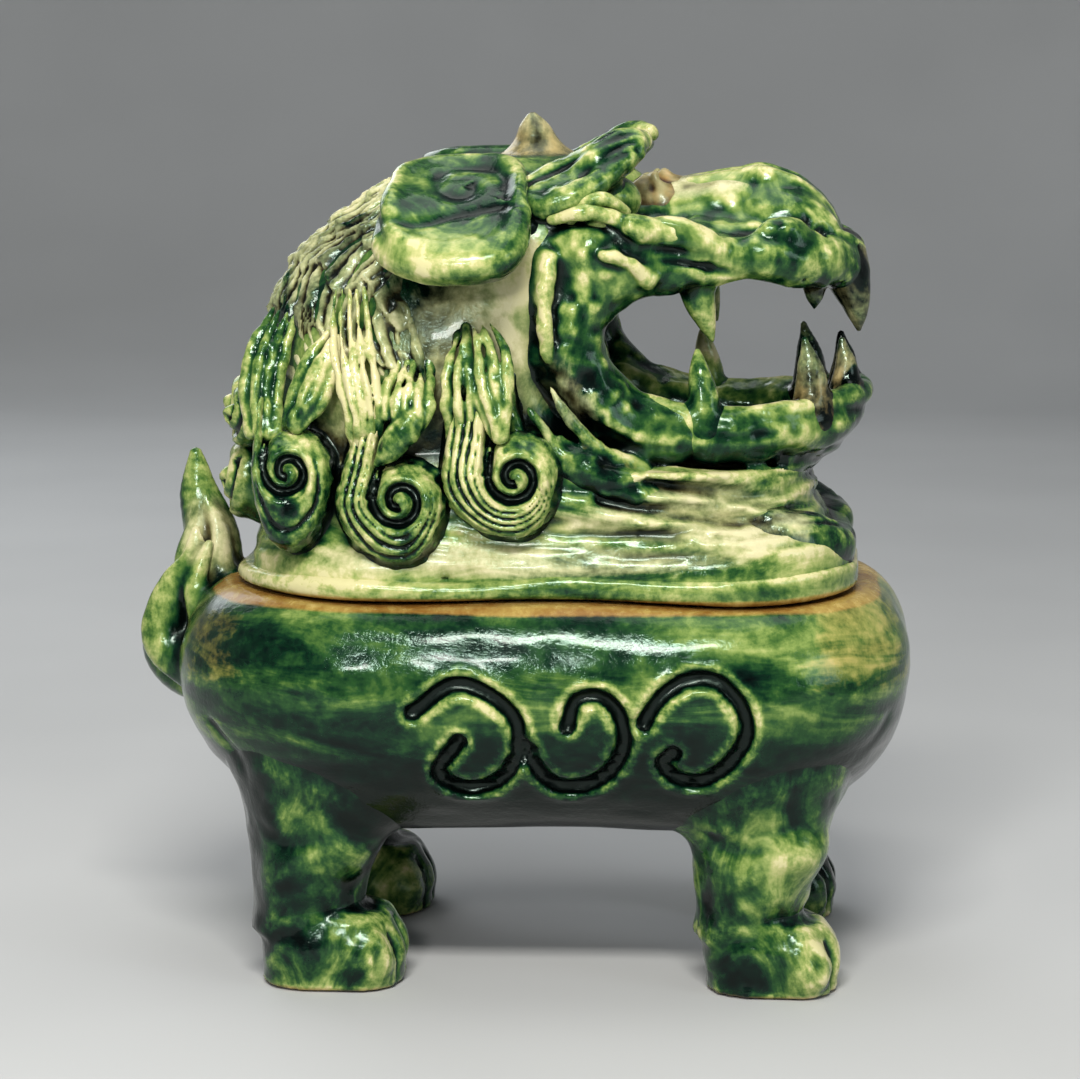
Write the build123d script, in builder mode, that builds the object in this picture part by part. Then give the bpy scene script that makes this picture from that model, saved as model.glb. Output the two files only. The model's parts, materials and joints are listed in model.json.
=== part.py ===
"""Lion-dog incense burner: a footed bowl with a flame tail, and a lid modelled as a roaring head.

Units are millimetres. +X is the way the beast looks, +Y its left side, +Z up. The origin lies on the
table, in the middle of the overall length and width. The object is two loose pieces, the bowl and the
lid. Each is built up from clay parts that were shaped apart and luted together, and every one of those
clay parts is a solid of its own here, trimmed to sit face to face against its neighbours. The beast is
the same on both sides, so paired parts are shaped on the left and mirrored.
"""

import os

from build123d import *

# Driving dimensions.
bowl_x = 6.6  # the bowl's middle stands this far ahead of the origin, because the tail reaches back
bowl_half_length = 84.0  # at the belly
bowl_half_width = 59.0
belly_z = 69.0
bowl_floor_z = 36.0  # underside, between the legs
rim_z = 89.0
wall = 6.0
lid_gap = 0.4  # between the bowl's rim and the lid's flange
flange_half_length = 71.0
flange_half_width = 47.0
flange_thickness = 7.0
spigot_clearance = 1.2
spigot_depth = 5.0
neck_top_z = 118.5
skull_top_z = 185.5
throat_x = 15.0  # front wall of the skull, at the back of the open mouth
jaw_front_x = 74.0
jaw_half_width = 28.0
jaw_wall = 6.5
lower_lip_z = 131.0
upper_lip_z = 157.0
leg_spread_y = 32.0
leg_places = {"front": 50.0, "rear": -50.0}
mane_thickness = 4.5
mane_low_z = 133.0
mane_split_y = 15.0
mane_front_x = -27.0

flange_z = rim_z + lid_gap
neck_base_z = flange_z + flange_thickness

bowl_parts = []
lid_parts = []


def at(x, y, z):
    """A place measured from the middle of the bowl, in the object's own frame."""
    return Vector(bowl_x + x, y, z)


def oval_form(sections):
    """A loft through rounded oblongs, each (z, middle x, half length, half width, corner radius)."""
    with BuildPart() as form:
        for z, x, half_length, half_width, corner in sections:
            with BuildSketch(Plane(at(x, 0, z))):
                RectangleRounded(2 * half_length, 2 * half_width, corner)
        loft()
    return form.part


def inset(sections, by):
    """The same oblongs drawn in by a wall's thickness, for the hollow inside a lofted form."""
    return [(z, x, a - by, b - by, max(corner - by, 1.0)) for z, x, a, b, corner in sections]


def lump(centre, direction, half_length, radius):
    """A ball of clay drawn out or flattened along a direction: an ellipsoid of revolution."""
    along = Vector(*direction).normalized()
    across = Vector(0, 0, 1) if abs(along.Z) < 0.9 else Vector(0, 1, 0)
    plane = Plane(origin=centre, x_dir=along, z_dir=along.cross(across))
    with BuildPart() as piece:
        with BuildSketch(plane):
            with BuildLine():
                EllipticalCenterArc((0, 0), half_length, radius, start_angle=0, arc_size=180)
                Line((-half_length, 0), (half_length, 0))
            make_face()
        revolve(axis=Axis(centre, along))
    return piece


def spike(base, tip, base_radius, tip_radius):
    """A tapered clay cone with a blunt tip, for fangs and the horn."""
    along = tip - base
    with BuildPart() as piece:
        with BuildSketch(Plane(origin=base, z_dir=along)):
            Circle(base_radius)
        with BuildSketch(Plane(origin=tip, z_dir=along)):
            Circle(tip_radius)
        loft()
        fillet(piece.faces().sort_by(Axis(base, along))[-1].edges(), tip_radius * 0.8)
    return piece


def strand(stations):
    """A rolled strand of clay, upright or nearly so, through (x, y, z, half length, half width)."""
    with BuildPart() as piece:
        for x, y, z, half_length, half_width in stations:
            with BuildSketch(Plane(at(x, y, z))):
                Ellipse(half_length, half_width)
        loft()
    return piece


def coil(centre, axis, radius, half_thickness):
    """A strand rolled up into a flat coil, as a disc with rounded rims."""
    with BuildPart() as piece:
        with BuildSketch(Plane(origin=centre, z_dir=axis)):
            Circle(radius)
        extrude(amount=half_thickness, both=True)
        fillet(piece.edges().filter_by(GeomType.CIRCLE), half_thickness * 0.6)
    return piece


def with_box(shape):
    """A shape and its quick bounding box, kept together because every later part is tested against it."""
    return shape, shape.bounding_box(optimal=False)


def boxes_meet(first, second):
    """Whether two bounding boxes overlap."""
    lows = (max(p, q) for p, q in zip(tuple(first.min), tuple(second.min)))
    highs = (min(p, q) for p, q in zip(tuple(first.max), tuple(second.max)))
    return all(low < high for low, high in zip(lows, highs))


def trimmed(piece, family, envelopes):
    """What is left of a clay part, as one solid, once what it is luted to is cut out of it."""
    shape, box = with_box(piece.part)
    for other, other_box in [*envelopes, *family]:
        if boxes_meet(box, other_box):
            shape = shape - other
    return shape.solids().sort_by(SortBy.VOLUME)[-1]


def write(solid, label, family):
    """Adds a finished solid to its family and writes it out as a node."""
    solid.label = label
    family.append(with_box(solid))
    export_step(solid, f"parts/{label}.step")


def finish(piece, label, family, envelopes=()):
    """Trims one clay part and writes it."""
    write(trimmed(piece, family, envelopes), label, family)


def finish_pair(piece, label, family, envelopes=()):
    """Trims a left-hand clay part, then writes it and its mirror image."""
    left = trimmed(piece, family, envelopes)
    right = mirror(left, about=Plane.XZ)
    write(left, label.format("left"), family)
    write(right, label.format("right"), family)


def finish_group(middle, left, label, family, envelopes=()):
    """Trims alike clay parts, some on the middle line and some on both sides, and writes one node."""
    centred = [trimmed(piece, family, envelopes) for piece in middle]
    sided = [trimmed(piece, family, envelopes) for piece in left]
    solids = [*centred, *sided, *(mirror(solid, about=Plane.XZ) for solid in sided)]
    family.extend(with_box(solid) for solid in solids)
    export_step(Compound(children=solids, label=label), f"parts/{label}.step")


os.makedirs("parts", exist_ok=True)

# --- The bowl -------------------------------------------------------------------------------------

bowl_sections = [
    (bowl_floor_z, 0, 61, 37, 29),
    (42.5, 0, 71, 46, 36),
    (54.0, 0, 80, 55, 42),
    (belly_z, 0, bowl_half_length, bowl_half_width, 44),
    (80.0, 0, 82, 57, 43),
    (rim_z, 0, 73.5, 49.5, 37),
]
mouth_section = (62.0, 38.0, 28.0)  # half length, half width and corner radius of the bowl's mouth

bowl_outside = oval_form(bowl_sections)
bowl_hollow = oval_form([*inset(bowl_sections[1:-1], wall), (rim_z - 3.0, 0, *mouth_section)])
bowl_walls = [with_box(bowl_outside)]

with BuildPart() as bowl:
    add(bowl_outside)
    add(bowl_hollow, mode=Mode.SUBTRACT)
    with BuildSketch(Plane(at(0, 0, rim_z - 4.0))):
        RectangleRounded(2 * mouth_section[0], 2 * mouth_section[1], mouth_section[2])
    extrude(amount=5.0, mode=Mode.SUBTRACT)
finish(bowl, "bowl", bowl_parts)

# Paws first, then the legs that stand on them, so that each leg is trimmed to its paw.
for end, leg_x in leg_places.items():
    with BuildPart() as paw:
        with BuildSketch(Plane(at(leg_x + 2.5, leg_spread_y, 0))):
            RectangleRounded(31, 27, 11)
        with BuildSketch(Plane(at(leg_x + 2.5, leg_spread_y, 8))):
            RectangleRounded(34, 30, 13)
        with BuildSketch(Plane(at(leg_x + 1.5, leg_spread_y, 17))):
            RectangleRounded(27, 25, 11)
        loft()
        fillet(paw.faces().sort_by(Axis.Z)[-1].edges(), 4)
    finish_pair(paw, end + "_{}_paw", bowl_parts)
    leg = strand([
        (leg_x - 3.5, leg_spread_y, 12, 12.5, 12),
        (leg_x - 2.5, leg_spread_y, 24, 13.0, 12.5),
        (leg_x - 0.5, leg_spread_y, 38, 16.0, 15),
        (leg_x, leg_spread_y, 52, 18.0, 17),
    ])
    finish_pair(leg, end + "_{}_leg", bowl_parts, bowl_walls)

# The tail: a tall flame in the middle, a leaf on each side of it, and a curl below.
tail_flame = strand([
    (-78.5, 0, 78, 7.5, 9),
    (-80.0, 0, 92, 7.0, 8),
    (-81.5, 0, 104, 5.6, 6),
    (-82.7, 0, 112, 3.6, 4),
    (-83.6, 0, 117, 1.6, 1.8),
])
finish(tail_flame, "tail_flame", bowl_parts, bowl_walls)
tail_leaf = strand([
    (-84.5, 9, 66, 3.0, 3.0),
    (-86.0, 9, 76, 5.0, 5.0),
    (-84.5, 8, 88, 4.2, 4.5),
    (-83.5, 7, 97, 1.5, 1.8),
])
finish_pair(tail_leaf, "tail_{}_leaf", bowl_parts, bowl_walls)
tail_curl = coil(at(-89.5, 0, 73.0), (0, 1, 0), 7.4, 7.0)
finish(tail_curl, "tail_curl", bowl_parts, bowl_walls)

# --- The lid: flange, neck and skull --------------------------------------------------------------

opening = (56.0, 32.0, 22.0)  # half length, half width and corner radius of the hole under the lid

with BuildPart() as flange:
    with BuildSketch(Plane(at(0, 0, flange_z))):
        RectangleRounded(2 * flange_half_length, 2 * flange_half_width, 33)
    extrude(amount=flange_thickness)
    fillet(flange.faces().sort_by(Axis.Z)[0].edges(), 2.0)
    with BuildSketch(Plane(at(0, 0, flange_z))):
        RectangleRounded(2 * opening[0], 2 * opening[1], opening[2])
    extrude(amount=flange_thickness, mode=Mode.SUBTRACT)
finish(flange, "lid_flange", lid_parts)

with BuildPart() as spigot:
    with BuildSketch(Plane(at(0, 0, flange_z))):
        RectangleRounded(
            2 * (mouth_section[0] - spigot_clearance),
            2 * (mouth_section[1] - spigot_clearance),
            mouth_section[2] - spigot_clearance,
        )
        RectangleRounded(2 * opening[0], 2 * opening[1], opening[2], mode=Mode.SUBTRACT)
    extrude(amount=-spigot_depth)
finish(spigot, "lid_locating_ring", lid_parts)

neck_sections = [
    (neck_base_z, 0, 69, 45, 33),
    (104.0, -1.5, 67, 43, 34),
    (112.0, -5.0, 63.5, 41.5, 36),
    (neck_top_z, -4.0, 64.5, 41.5, 38),
]
skull_sections = [
    (neck_top_z, -24.0, 44.0, 41.0, 36),
    (132.0, -25.5, 41.5, 41.0, 36),
    (148.0, -25.0, 39.5, 39.5, 34),
    (162.0, -20.5, 36.5, 35.0, 30),
    (174.0, -13.5, 31.0, 27.0, 24),
    (182.0, -9.0, 22.0, 18.0, 16),
    (skull_top_z, -7.0, 13.0, 10.0, 8.5),
]
neck_outside = oval_form(neck_sections)
skull_outside = oval_form(skull_sections)
head_walls = [with_box(neck_outside), with_box(skull_outside)]

with BuildPart() as neck:
    add(neck_outside)
    add(oval_form([(neck_base_z, 0, *opening), (neck_top_z - wall, -5, 56, 34, 28)]), mode=Mode.SUBTRACT)
    with BuildSketch(Plane(at(skull_sections[0][1], 0, neck_top_z - wall - 1))):
        RectangleRounded(2 * (44.0 - wall), 2 * (41.0 - wall - 1.0), 28)
    extrude(amount=wall + 1, mode=Mode.SUBTRACT)
finish(neck, "neck", lid_parts)

with BuildPart() as skull:
    add(skull_outside)
    add(oval_form(inset(skull_sections[:-1], wall)), mode=Mode.SUBTRACT)
    with BuildSketch(Plane(at(throat_x - 14, 0, 145), x_dir=(0, 1, 0), z_dir=(1, 0, 0))):
        RectangleRounded(34, 22, 9)
    extrude(amount=20, mode=Mode.SUBTRACT)
finish(skull, "skull", lid_parts)

# --- The jaws -------------------------------------------------------------------------------------

jaw_back_x = throat_x - 3.0
jaw_middle_x = (jaw_back_x + jaw_front_x) / 2
jaw_half_length = (jaw_front_x - jaw_back_x) / 2

with BuildPart() as lower_jaw:
    with BuildSketch(Plane(at(jaw_middle_x - 2, 0, neck_top_z))):
        RectangleRounded(2 * (jaw_half_length - 5), 2 * (jaw_half_width - 3), 21)
    with BuildSketch(Plane(at(jaw_middle_x, 0, lower_lip_z))):
        RectangleRounded(2 * jaw_half_length, 2 * jaw_half_width, 24)
    loft()
    with BuildSketch(Plane(at(jaw_middle_x - jaw_wall, 0, lower_lip_z))):
        RectangleRounded(2 * jaw_half_length, 2 * (jaw_half_width - jaw_wall), 18)
    extrude(amount=-9.0, mode=Mode.SUBTRACT)
finish(lower_jaw, "lower_jaw", lid_parts, head_walls)

muzzle_sections = (
    (jaw_back_x - 4, 168.0, 27.0, 11.5),
    (34.0, 168.0, 25.0, 11.0),
    (54.0, 167.5, 21.0, 10.5),
    (66.0, 165.5, 17.0, 8.5),
    (jaw_front_x - 1, 162.5, 12.0, 5.0),
)
with BuildPart() as upper_muzzle:
    for x, z, half_width, half_height in muzzle_sections:
        with BuildSketch(Plane(at(x, 0, z), x_dir=(0, 1, 0), z_dir=(1, 0, 0))):
            RectangleRounded(2 * half_width, 2 * half_height, half_height * 0.8)
    loft()
finish(upper_muzzle, "upper_muzzle", lid_parts, head_walls)

cheek = lump(at(9.5, 28, 143), (0.15, 0, 1), 21, 7.5)
finish_pair(cheek, "{}_cheek", lid_parts, head_walls)
nose = lump(at(56, 0, 174.5), (0, 1, 0), 14, 8.5)
finish(nose, "nose", lid_parts, head_walls)
frown = lump(at(25, 0, 179), (0, 0, 1), 8, 6)
finish(frown, "frown_bump", lid_parts, head_walls)

# --- Teeth ----------------------------------------------------------------------------------------

upper_fang = spike(at(34.5, 23, upper_lip_z + 4), at(37.5, 23, 146.5), 4.0, 1.0)
finish_pair(upper_fang, "upper_{}_fang", lid_parts, head_walls)
lower_fang = spike(at(36.5, 24, lower_lip_z), at(34.5, 23, 143.0), 3.2, 1.0)
finish_pair(lower_fang, "lower_{}_fang", lid_parts, head_walls)

upper_teeth = [
    spike(at(68.5, 7, 160), at(71.5, 7, 147.5), 3.6, 0.9),
    spike(at(61, 13, 160), at(61, 13, 153), 2.6, 0.9),
]
finish_group([], upper_teeth, "upper_front_teeth", lid_parts, head_walls)
lower_teeth = [
    spike(at(70.5, 8, lower_lip_z), at(69.5, 8, 141.5), 3.0, 0.9),
    spike(at(62, 22, lower_lip_z), at(60.5, 22, 143.5), 3.0, 0.9),
]
finish_group([], lower_teeth, "lower_front_teeth", lid_parts, head_walls)

# --- Horn, ears, brows and eyes -------------------------------------------------------------------

horn = spike(at(-3.5, 0, 180), at(-4.5, 0, 195.5), 8.0, 2.4)
finish(horn, "horn", lid_parts, head_walls)

ear_root = at(-16.5, 21, 186)
ear_tip = at(-16.5, 57, 161)
droop = (ear_tip - ear_root).normalized()
ear_length = (ear_tip - ear_root).length
with BuildPart() as ear:
    with BuildSketch(Plane(origin=(ear_root + ear_tip) / 2, x_dir=droop, z_dir=droop.cross(Vector(1, 0, 0)))):
        RectangleRounded(ear_length, 33, 13)
    extrude(amount=3.5, both=True)
finish_pair(ear, "{}_ear", lid_parts, head_walls)
brow = lump(at(13.5, 21, 184.5), (0.86, 0, 0.5), 13.5, 6.0)
finish_pair(brow, "{}_brow", lid_parts, head_walls)
eye = lump(at(15.5, 26, 173.5), (0, 1, 0), 6.0, 5.5)
finish_pair(eye, "{}_eye", lid_parts, head_walls)

# --- Mane, locks and curls ------------------------------------------------------------------------

mane_bands = {
    "left_mane": (mane_split_y, 60.0),
    "back_mane": (-mane_split_y, mane_split_y),
    "right_mane": (-60.0, -mane_split_y),
}
mane_form = oval_form(inset(skull_sections[1:-1], -mane_thickness))
for name, (near_y, far_y) in mane_bands.items():
    with BuildPart() as mane:
        add(mane_form)
        split(bisect_by=Plane(at(mane_front_x, 0, 150), z_dir=(-1, 0, -0.25)))
        split(bisect_by=Plane(at(0, 0, mane_low_z)))
        split(bisect_by=Plane(at(0, near_y, 0), z_dir=(0, 1, 0)))
        split(bisect_by=Plane(at(0, far_y, 0), z_dir=(0, -1, 0)))
    finish(mane, name, lid_parts, head_walls)

# Three locks on each side end in coils.
coils = {
    "rear": (at(-55.0, 40.5, 117.5), (-0.35, 1, 0), 10.5),
    "middle": (at(-30.5, 44.0, 112.0), (0, 1, 0), 10.0),
    "front": (at(-4.5, 44.0, 117.0), (0, 1, 0), 11.5),
}
locks = {
    "rear": ((-60.0, 34.0, 126.0, 5.5, 6.5), (-58.0, 35.0, 134.0, 5.0, 6.0), (-56.0, 33.0, 148.0, 2.5, 4.0)),
    "middle": ((-36.0, 42.0, 118.0, 6.0, 5.5), (-37.5, 42.5, 132.0, 5.5, 6.0), (-36.0, 39.0, 150.0, 3.0, 4.0)),
    "front": ((-9.0, 40.0, 122.0, 6.5, 6.0), (-11.5, 41.0, 138.0, 6.0, 5.5), (-13.5, 38.0, 154.0, 3.0, 4.0)),
}
for name, (centre, facing, radius) in coils.items():
    finish_pair(coil(centre, facing, radius, 5.5), name + "_{}_curl", lid_parts, head_walls)
for name, stations in locks.items():
    finish_pair(strand(stations), name + "_{}_lock", lid_parts, head_walls)

low_nape = coil(at(-67, 11, 112), (-1, 0, 0), 8.5, 6.0)
finish_group([], [low_nape], "lower_nape_curls", lid_parts, head_walls)
high_nape = [coil(at(-67, y, 127.5), (-1, 0, 0), 6.5, 6.0) for y in (0, 18)]
finish_group(high_nape[:1], high_nape[1:], "upper_nape_curls", lid_parts, head_walls)

# --- Beard ----------------------------------------------------------------------------------------

beard = lump(at(57, 27, 104), (0.8, -0.6, 0), 12.0, 7.0)
finish_pair(beard, "{}_beard", lid_parts, head_walls)
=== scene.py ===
import json
import math
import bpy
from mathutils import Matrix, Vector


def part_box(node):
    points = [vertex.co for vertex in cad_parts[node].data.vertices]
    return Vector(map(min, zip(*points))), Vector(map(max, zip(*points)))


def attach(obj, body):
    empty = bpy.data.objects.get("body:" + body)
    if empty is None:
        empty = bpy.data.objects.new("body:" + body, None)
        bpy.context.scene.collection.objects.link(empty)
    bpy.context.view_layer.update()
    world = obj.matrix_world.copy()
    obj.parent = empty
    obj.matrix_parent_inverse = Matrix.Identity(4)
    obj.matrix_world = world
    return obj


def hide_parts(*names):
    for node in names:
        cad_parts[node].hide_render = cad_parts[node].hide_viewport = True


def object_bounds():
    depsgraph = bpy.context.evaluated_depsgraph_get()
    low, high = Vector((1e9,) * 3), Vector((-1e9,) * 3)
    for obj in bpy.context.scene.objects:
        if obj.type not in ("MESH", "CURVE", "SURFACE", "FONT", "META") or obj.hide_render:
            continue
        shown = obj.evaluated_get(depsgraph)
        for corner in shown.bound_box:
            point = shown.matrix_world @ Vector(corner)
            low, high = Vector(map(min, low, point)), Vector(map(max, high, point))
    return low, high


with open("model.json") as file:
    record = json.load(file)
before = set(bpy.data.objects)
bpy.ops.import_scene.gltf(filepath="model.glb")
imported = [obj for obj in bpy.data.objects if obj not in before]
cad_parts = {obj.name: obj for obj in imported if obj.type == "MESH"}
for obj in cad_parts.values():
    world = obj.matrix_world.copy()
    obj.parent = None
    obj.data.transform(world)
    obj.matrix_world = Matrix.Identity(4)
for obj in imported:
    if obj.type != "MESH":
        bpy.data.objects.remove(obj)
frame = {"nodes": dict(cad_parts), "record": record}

from concurrent.futures import ThreadPoolExecutor

import bpy
import numpy as np
import openvdb as vdb
from mathutils import Vector

cad_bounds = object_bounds()

# Each piece of clay is a block of space that holds signed distances to its surface in millimetres
# (negative inside), and becomes a closed mesh at the end. Blocks lie along the frame's axes. Shapes
# take places measured from the middle of the bowl, which at() turns into the frame's.

MM = 1000.0
STEP_SCALE = 1.0
FAR = 30.0  # stands for any distance too large to matter
REACH = 8.0  # how far round an added shape its distances are worked out
THREADS = 4

flange_low, flange_high = (np.array(corner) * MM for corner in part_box("lid_flange"))
middle_x = (flange_low[0] + flange_high[0]) / 2
seam_z = flange_low[2]


def at(x, y, z):
    """A place measured from the middle of the bowl, in the frame."""
    return np.array([middle_x + x, y, z], float)


def box(node):
    """Lowest and highest corner of a CAD node, measured from the middle of the bowl."""
    return [np.array(corner) * MM - (middle_x, 0, 0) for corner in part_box(node)]


# --- Fields ---------------------------------------------------------------------------------------

class Clay:
    """A block of space with the distance to one piece's surface at every grid point."""

    def __init__(self, low, high, step):
        self.step = step
        self.first = np.floor(np.asarray(low) / step).astype(int)
        count = np.ceil(np.asarray(high) / step).astype(int) - self.first + 1
        self.d = np.full(count, FAR, np.float32)

    def grid(self, window=(slice(None),) * 3):
        x, y, z = (((self.first[i] + np.arange(self.d.shape[i])) * self.step)[window[i]].astype(np.float32)
                   for i in range(3))
        return x[:, None, None], y[None, :, None], z[None, None, :]

    def window(self, low, high):
        parts = []
        for i in range(3):
            start = int(np.floor(low[i] / self.step)) - self.first[i]
            stop = int(np.ceil(high[i] / self.step)) - self.first[i] + 1
            parts.append(slice(max(start, 0), max(min(stop, self.d.shape[i]), 0)))
        return tuple(parts)

    def add(self, shape, blend=1.0):
        low, high, distance = shape
        window = self.window(low - REACH, high + REACH)
        if min(self.d[window].shape) > 0:
            self.d[window] = smin(self.d[window], distance(*self.grid(window)), blend)

    def cut(self, shape, blend=0.6):
        low, high, distance = shape
        window = self.window(low - 2 * blend - 1, high + 2 * blend + 1)
        if min(self.d[window].shape) > 0:
            self.d[window] = smax(self.d[window], -distance(*self.grid(window)), blend)

    def swell(self, centre, radii, blend):
        self.add(ball(centre, radii), blend)

    def press(self, centre, radii, blend):
        self.cut(ball(centre, radii), blend)

    def roll(self, points, radii, blend):
        self.add(rope(points, radii), blend)

    def score(self, points, radii, blend):
        self.cut(rope(points, radii), blend)

    def on(self, grid):
        """This block's distances on another block's grid, by trilinear interpolation."""
        values, beyond = self.d, 0.0
        for i, places in enumerate(grid):
            index = places.reshape(-1) / self.step - self.first[i]
            inside = np.clip(index, 0, self.d.shape[i] - 1.001)
            shape = [1, 1, 1]
            shape[i] = -1
            low = inside.astype(int)
            share = (inside - low).astype(np.float32).reshape(shape)
            values = np.take(values, low, i) * (1 - share) + np.take(values, low + 1, i) * share
            beyond = beyond + (((index - inside) * self.step) ** 2).reshape(shape)
        return values + np.sqrt(beyond).astype(np.float32)


def gather(values, places):
    """Values at scattered places, counted in grid steps, by trilinear interpolation."""
    places = np.clip(places, 0, np.array(values.shape) - 1.001)
    low = places.astype(int)
    share = (places - low).astype(np.float32)
    total = 0
    for corner in np.ndindex(2, 2, 2):
        weight = np.where(corner, share, 1 - share).prod(1)
        total = total + weight * values[tuple((low + corner).T)]
    return total


def smin(a, b, k):
    """The smaller of two distances, rounded over where they are within k of each other."""
    if k <= 0:
        return np.minimum(a, b)
    h = np.maximum(k - np.abs(a - b), 0) / k
    return np.minimum(a, b) - h * h * k * 0.25


def smax(a, b, k):
    return -smin(-a, -b, k)


def ramp(value, start, stop):
    """0 before start, 1 after stop, and a straight rise between."""
    return np.clip((value - start) / (stop - start), 0, 1)


def bump(value, centre, width):
    """A bell curve, 1 at the centre."""
    return np.exp(-((value - centre) / width) ** 2)


def blurred(values, spread):
    """Gaussian blur of a block; spread is in grid steps."""
    reach = max(1, int(math.ceil(2.5 * spread)))
    taps = bump(np.arange(-reach, reach + 1), 0, spread * math.sqrt(2))
    taps = (taps / taps.sum()).astype(np.float32)
    for i in range(3):
        pad = [(0, 0)] * 3
        pad[i] = (reach, reach)
        padded = np.pad(values, pad, mode="edge")
        count = values.shape[i]
        values = sum(t * np.take(padded, range(k, k + count), i) for k, t in enumerate(taps))
    return values


LATTICE_SIDE = 64
lattice = np.random.default_rng(11).random((LATTICE_SIDE,) * 3, dtype=np.float32) * 2 - 1


def noise(x, y, z, size, seed=0):
    """Smooth random values from -1 to 1 whose bumps are about size across."""
    corners, shares = [], []
    for i, v in enumerate((x, y, z)):
        v = v / size + 17.3 * (i + 1) + 7.7 * seed
        low = np.floor(v)
        t = (v - low).astype(np.float32)
        shares.append(t * t * (3 - 2 * t))
        corners.append(low.astype(np.int64))
    total = 0
    for corner in np.ndindex(2, 2, 2):
        weight = 1.0
        for i in range(3):
            weight = weight * (shares[i] if corner[i] else 1 - shares[i])
        total = total + weight * lattice[tuple((corners[i] + corner[i]) % LATTICE_SIDE for i in range(3))]
    return total


def lumps(clay, *rows):
    """Unevenness left by fingers, the same on both sides: rows of height, size and seed."""
    x, y, z = clay.grid()
    for height, size, seed in rows:
        clay.d = clay.d + height * noise(x, np.abs(y), z, size, seed)
    return clay


def hand_warp(x, y, z):
    """How far hand-building has pushed the clay at each place; the same on both sides."""
    stand = ramp(z, 0, 20)
    wx = stand * (0.5 * np.sin(z / 17 + 1) + 0.4 * np.sin(x / 23 + z / 31))
    wy = stand * (y / 45) * (0.6 * np.sin(x / 19 + 2) + 0.5 * np.sin(z / 14))
    wz = stand * (0.55 * np.sin(x / 13 + 0.5) + 0.35 * np.sin(x / 29 + 2))
    return wx, wy, wz


def cad_clay(node, step, margin=8.0, warp=True):
    """A CAD node's own shape as a block of clay, slightly uneven as if made by hand."""
    step = step * STEP_SCALE
    mesh = frame["nodes"][node].data
    mesh.calc_loop_triangles()
    points = np.empty(len(mesh.vertices) * 3, np.float32)
    mesh.vertices.foreach_get("co", points)
    points = points.reshape(-1, 3) * MM
    corners = np.empty(len(mesh.loop_triangles) * 3, np.int32)
    mesh.loop_triangles.foreach_get("vertices", corners)
    base, band = max(step, 0.9), 9.0
    levels = vdb.FloatGrid.createLevelSetFromPolygons(
        points, triangles=corners.reshape(-1, 3).astype(np.uint32),
        transform=vdb.createLinearTransform(voxelSize=base), halfWidth=band / base)
    clay = Clay(points.min(0) - margin, points.max(0) + margin, step)
    source = Clay(points.min(0) - margin - 3, points.max(0) + margin + 3, base)
    levels.copyToArray(source.d, ijk=tuple(int(i) for i in source.first))
    grid = clay.grid()
    if not warp:
        clay.d = source.on(grid)
        return clay
    shape = clay.d.shape
    unpushed = [np.broadcast_to(v - push, shape).ravel() for v, push in zip(grid, hand_warp(*grid))]
    places = np.stack(unpushed, 1)
    clay.d = gather(source.d, places / base - source.first).reshape(shape).astype(np.float32)
    return clay


# --- Shapes: each is (low corner, high corner, distance function) ----------------------------------

def unit(v):
    v = np.asarray(v, float)
    return v / np.linalg.norm(v)


def along(axes, centre, x, y, z):
    """Places as distances from a centre along three axes."""
    return [u[0] * (x - centre[0]) + u[1] * (y - centre[1]) + u[2] * (z - centre[2]) for u in axes]


def ball(centre, radii, axes=np.eye(3)):
    """An ellipsoid."""
    centre, radii, axes = at(*centre), np.array(radii, float), np.asarray(axes)
    reach = np.sqrt(((axes * radii[:, None]) ** 2).sum(0))

    def distance(x, y, z):
        p = along(axes, centre, x, y, z)
        near = np.sqrt(sum((v / r) ** 2 for v, r in zip(p, radii))) + 1e-6
        slope = np.sqrt(sum((v / r ** 2) ** 2 for v, r in zip(p, radii))) + 1e-6
        return (near * (near - 1) / slope).astype(np.float32)

    return centre - reach, centre + reach, distance


def spline(points, count):
    """A Catmull-Rom curve through rows of numbers, as count + 1 evenly spread rows."""
    p = np.asarray(points, float)
    p = np.vstack([2 * p[0] - p[1], p, 2 * p[-1] - p[-2]])
    t = np.linspace(0, len(p) - 3 - 1e-9, count + 1)
    i = t.astype(int)
    f = (t - i)[:, None]
    a, b, c, d = p[i], p[i + 1], p[i + 2], p[i + 3]
    curve = 2 * b + (c - a) * f + (2 * a - 5 * b + 4 * c - d) * f ** 2 + (3 * b - a - 3 * c + d) * f ** 3
    return 0.5 * curve


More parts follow.
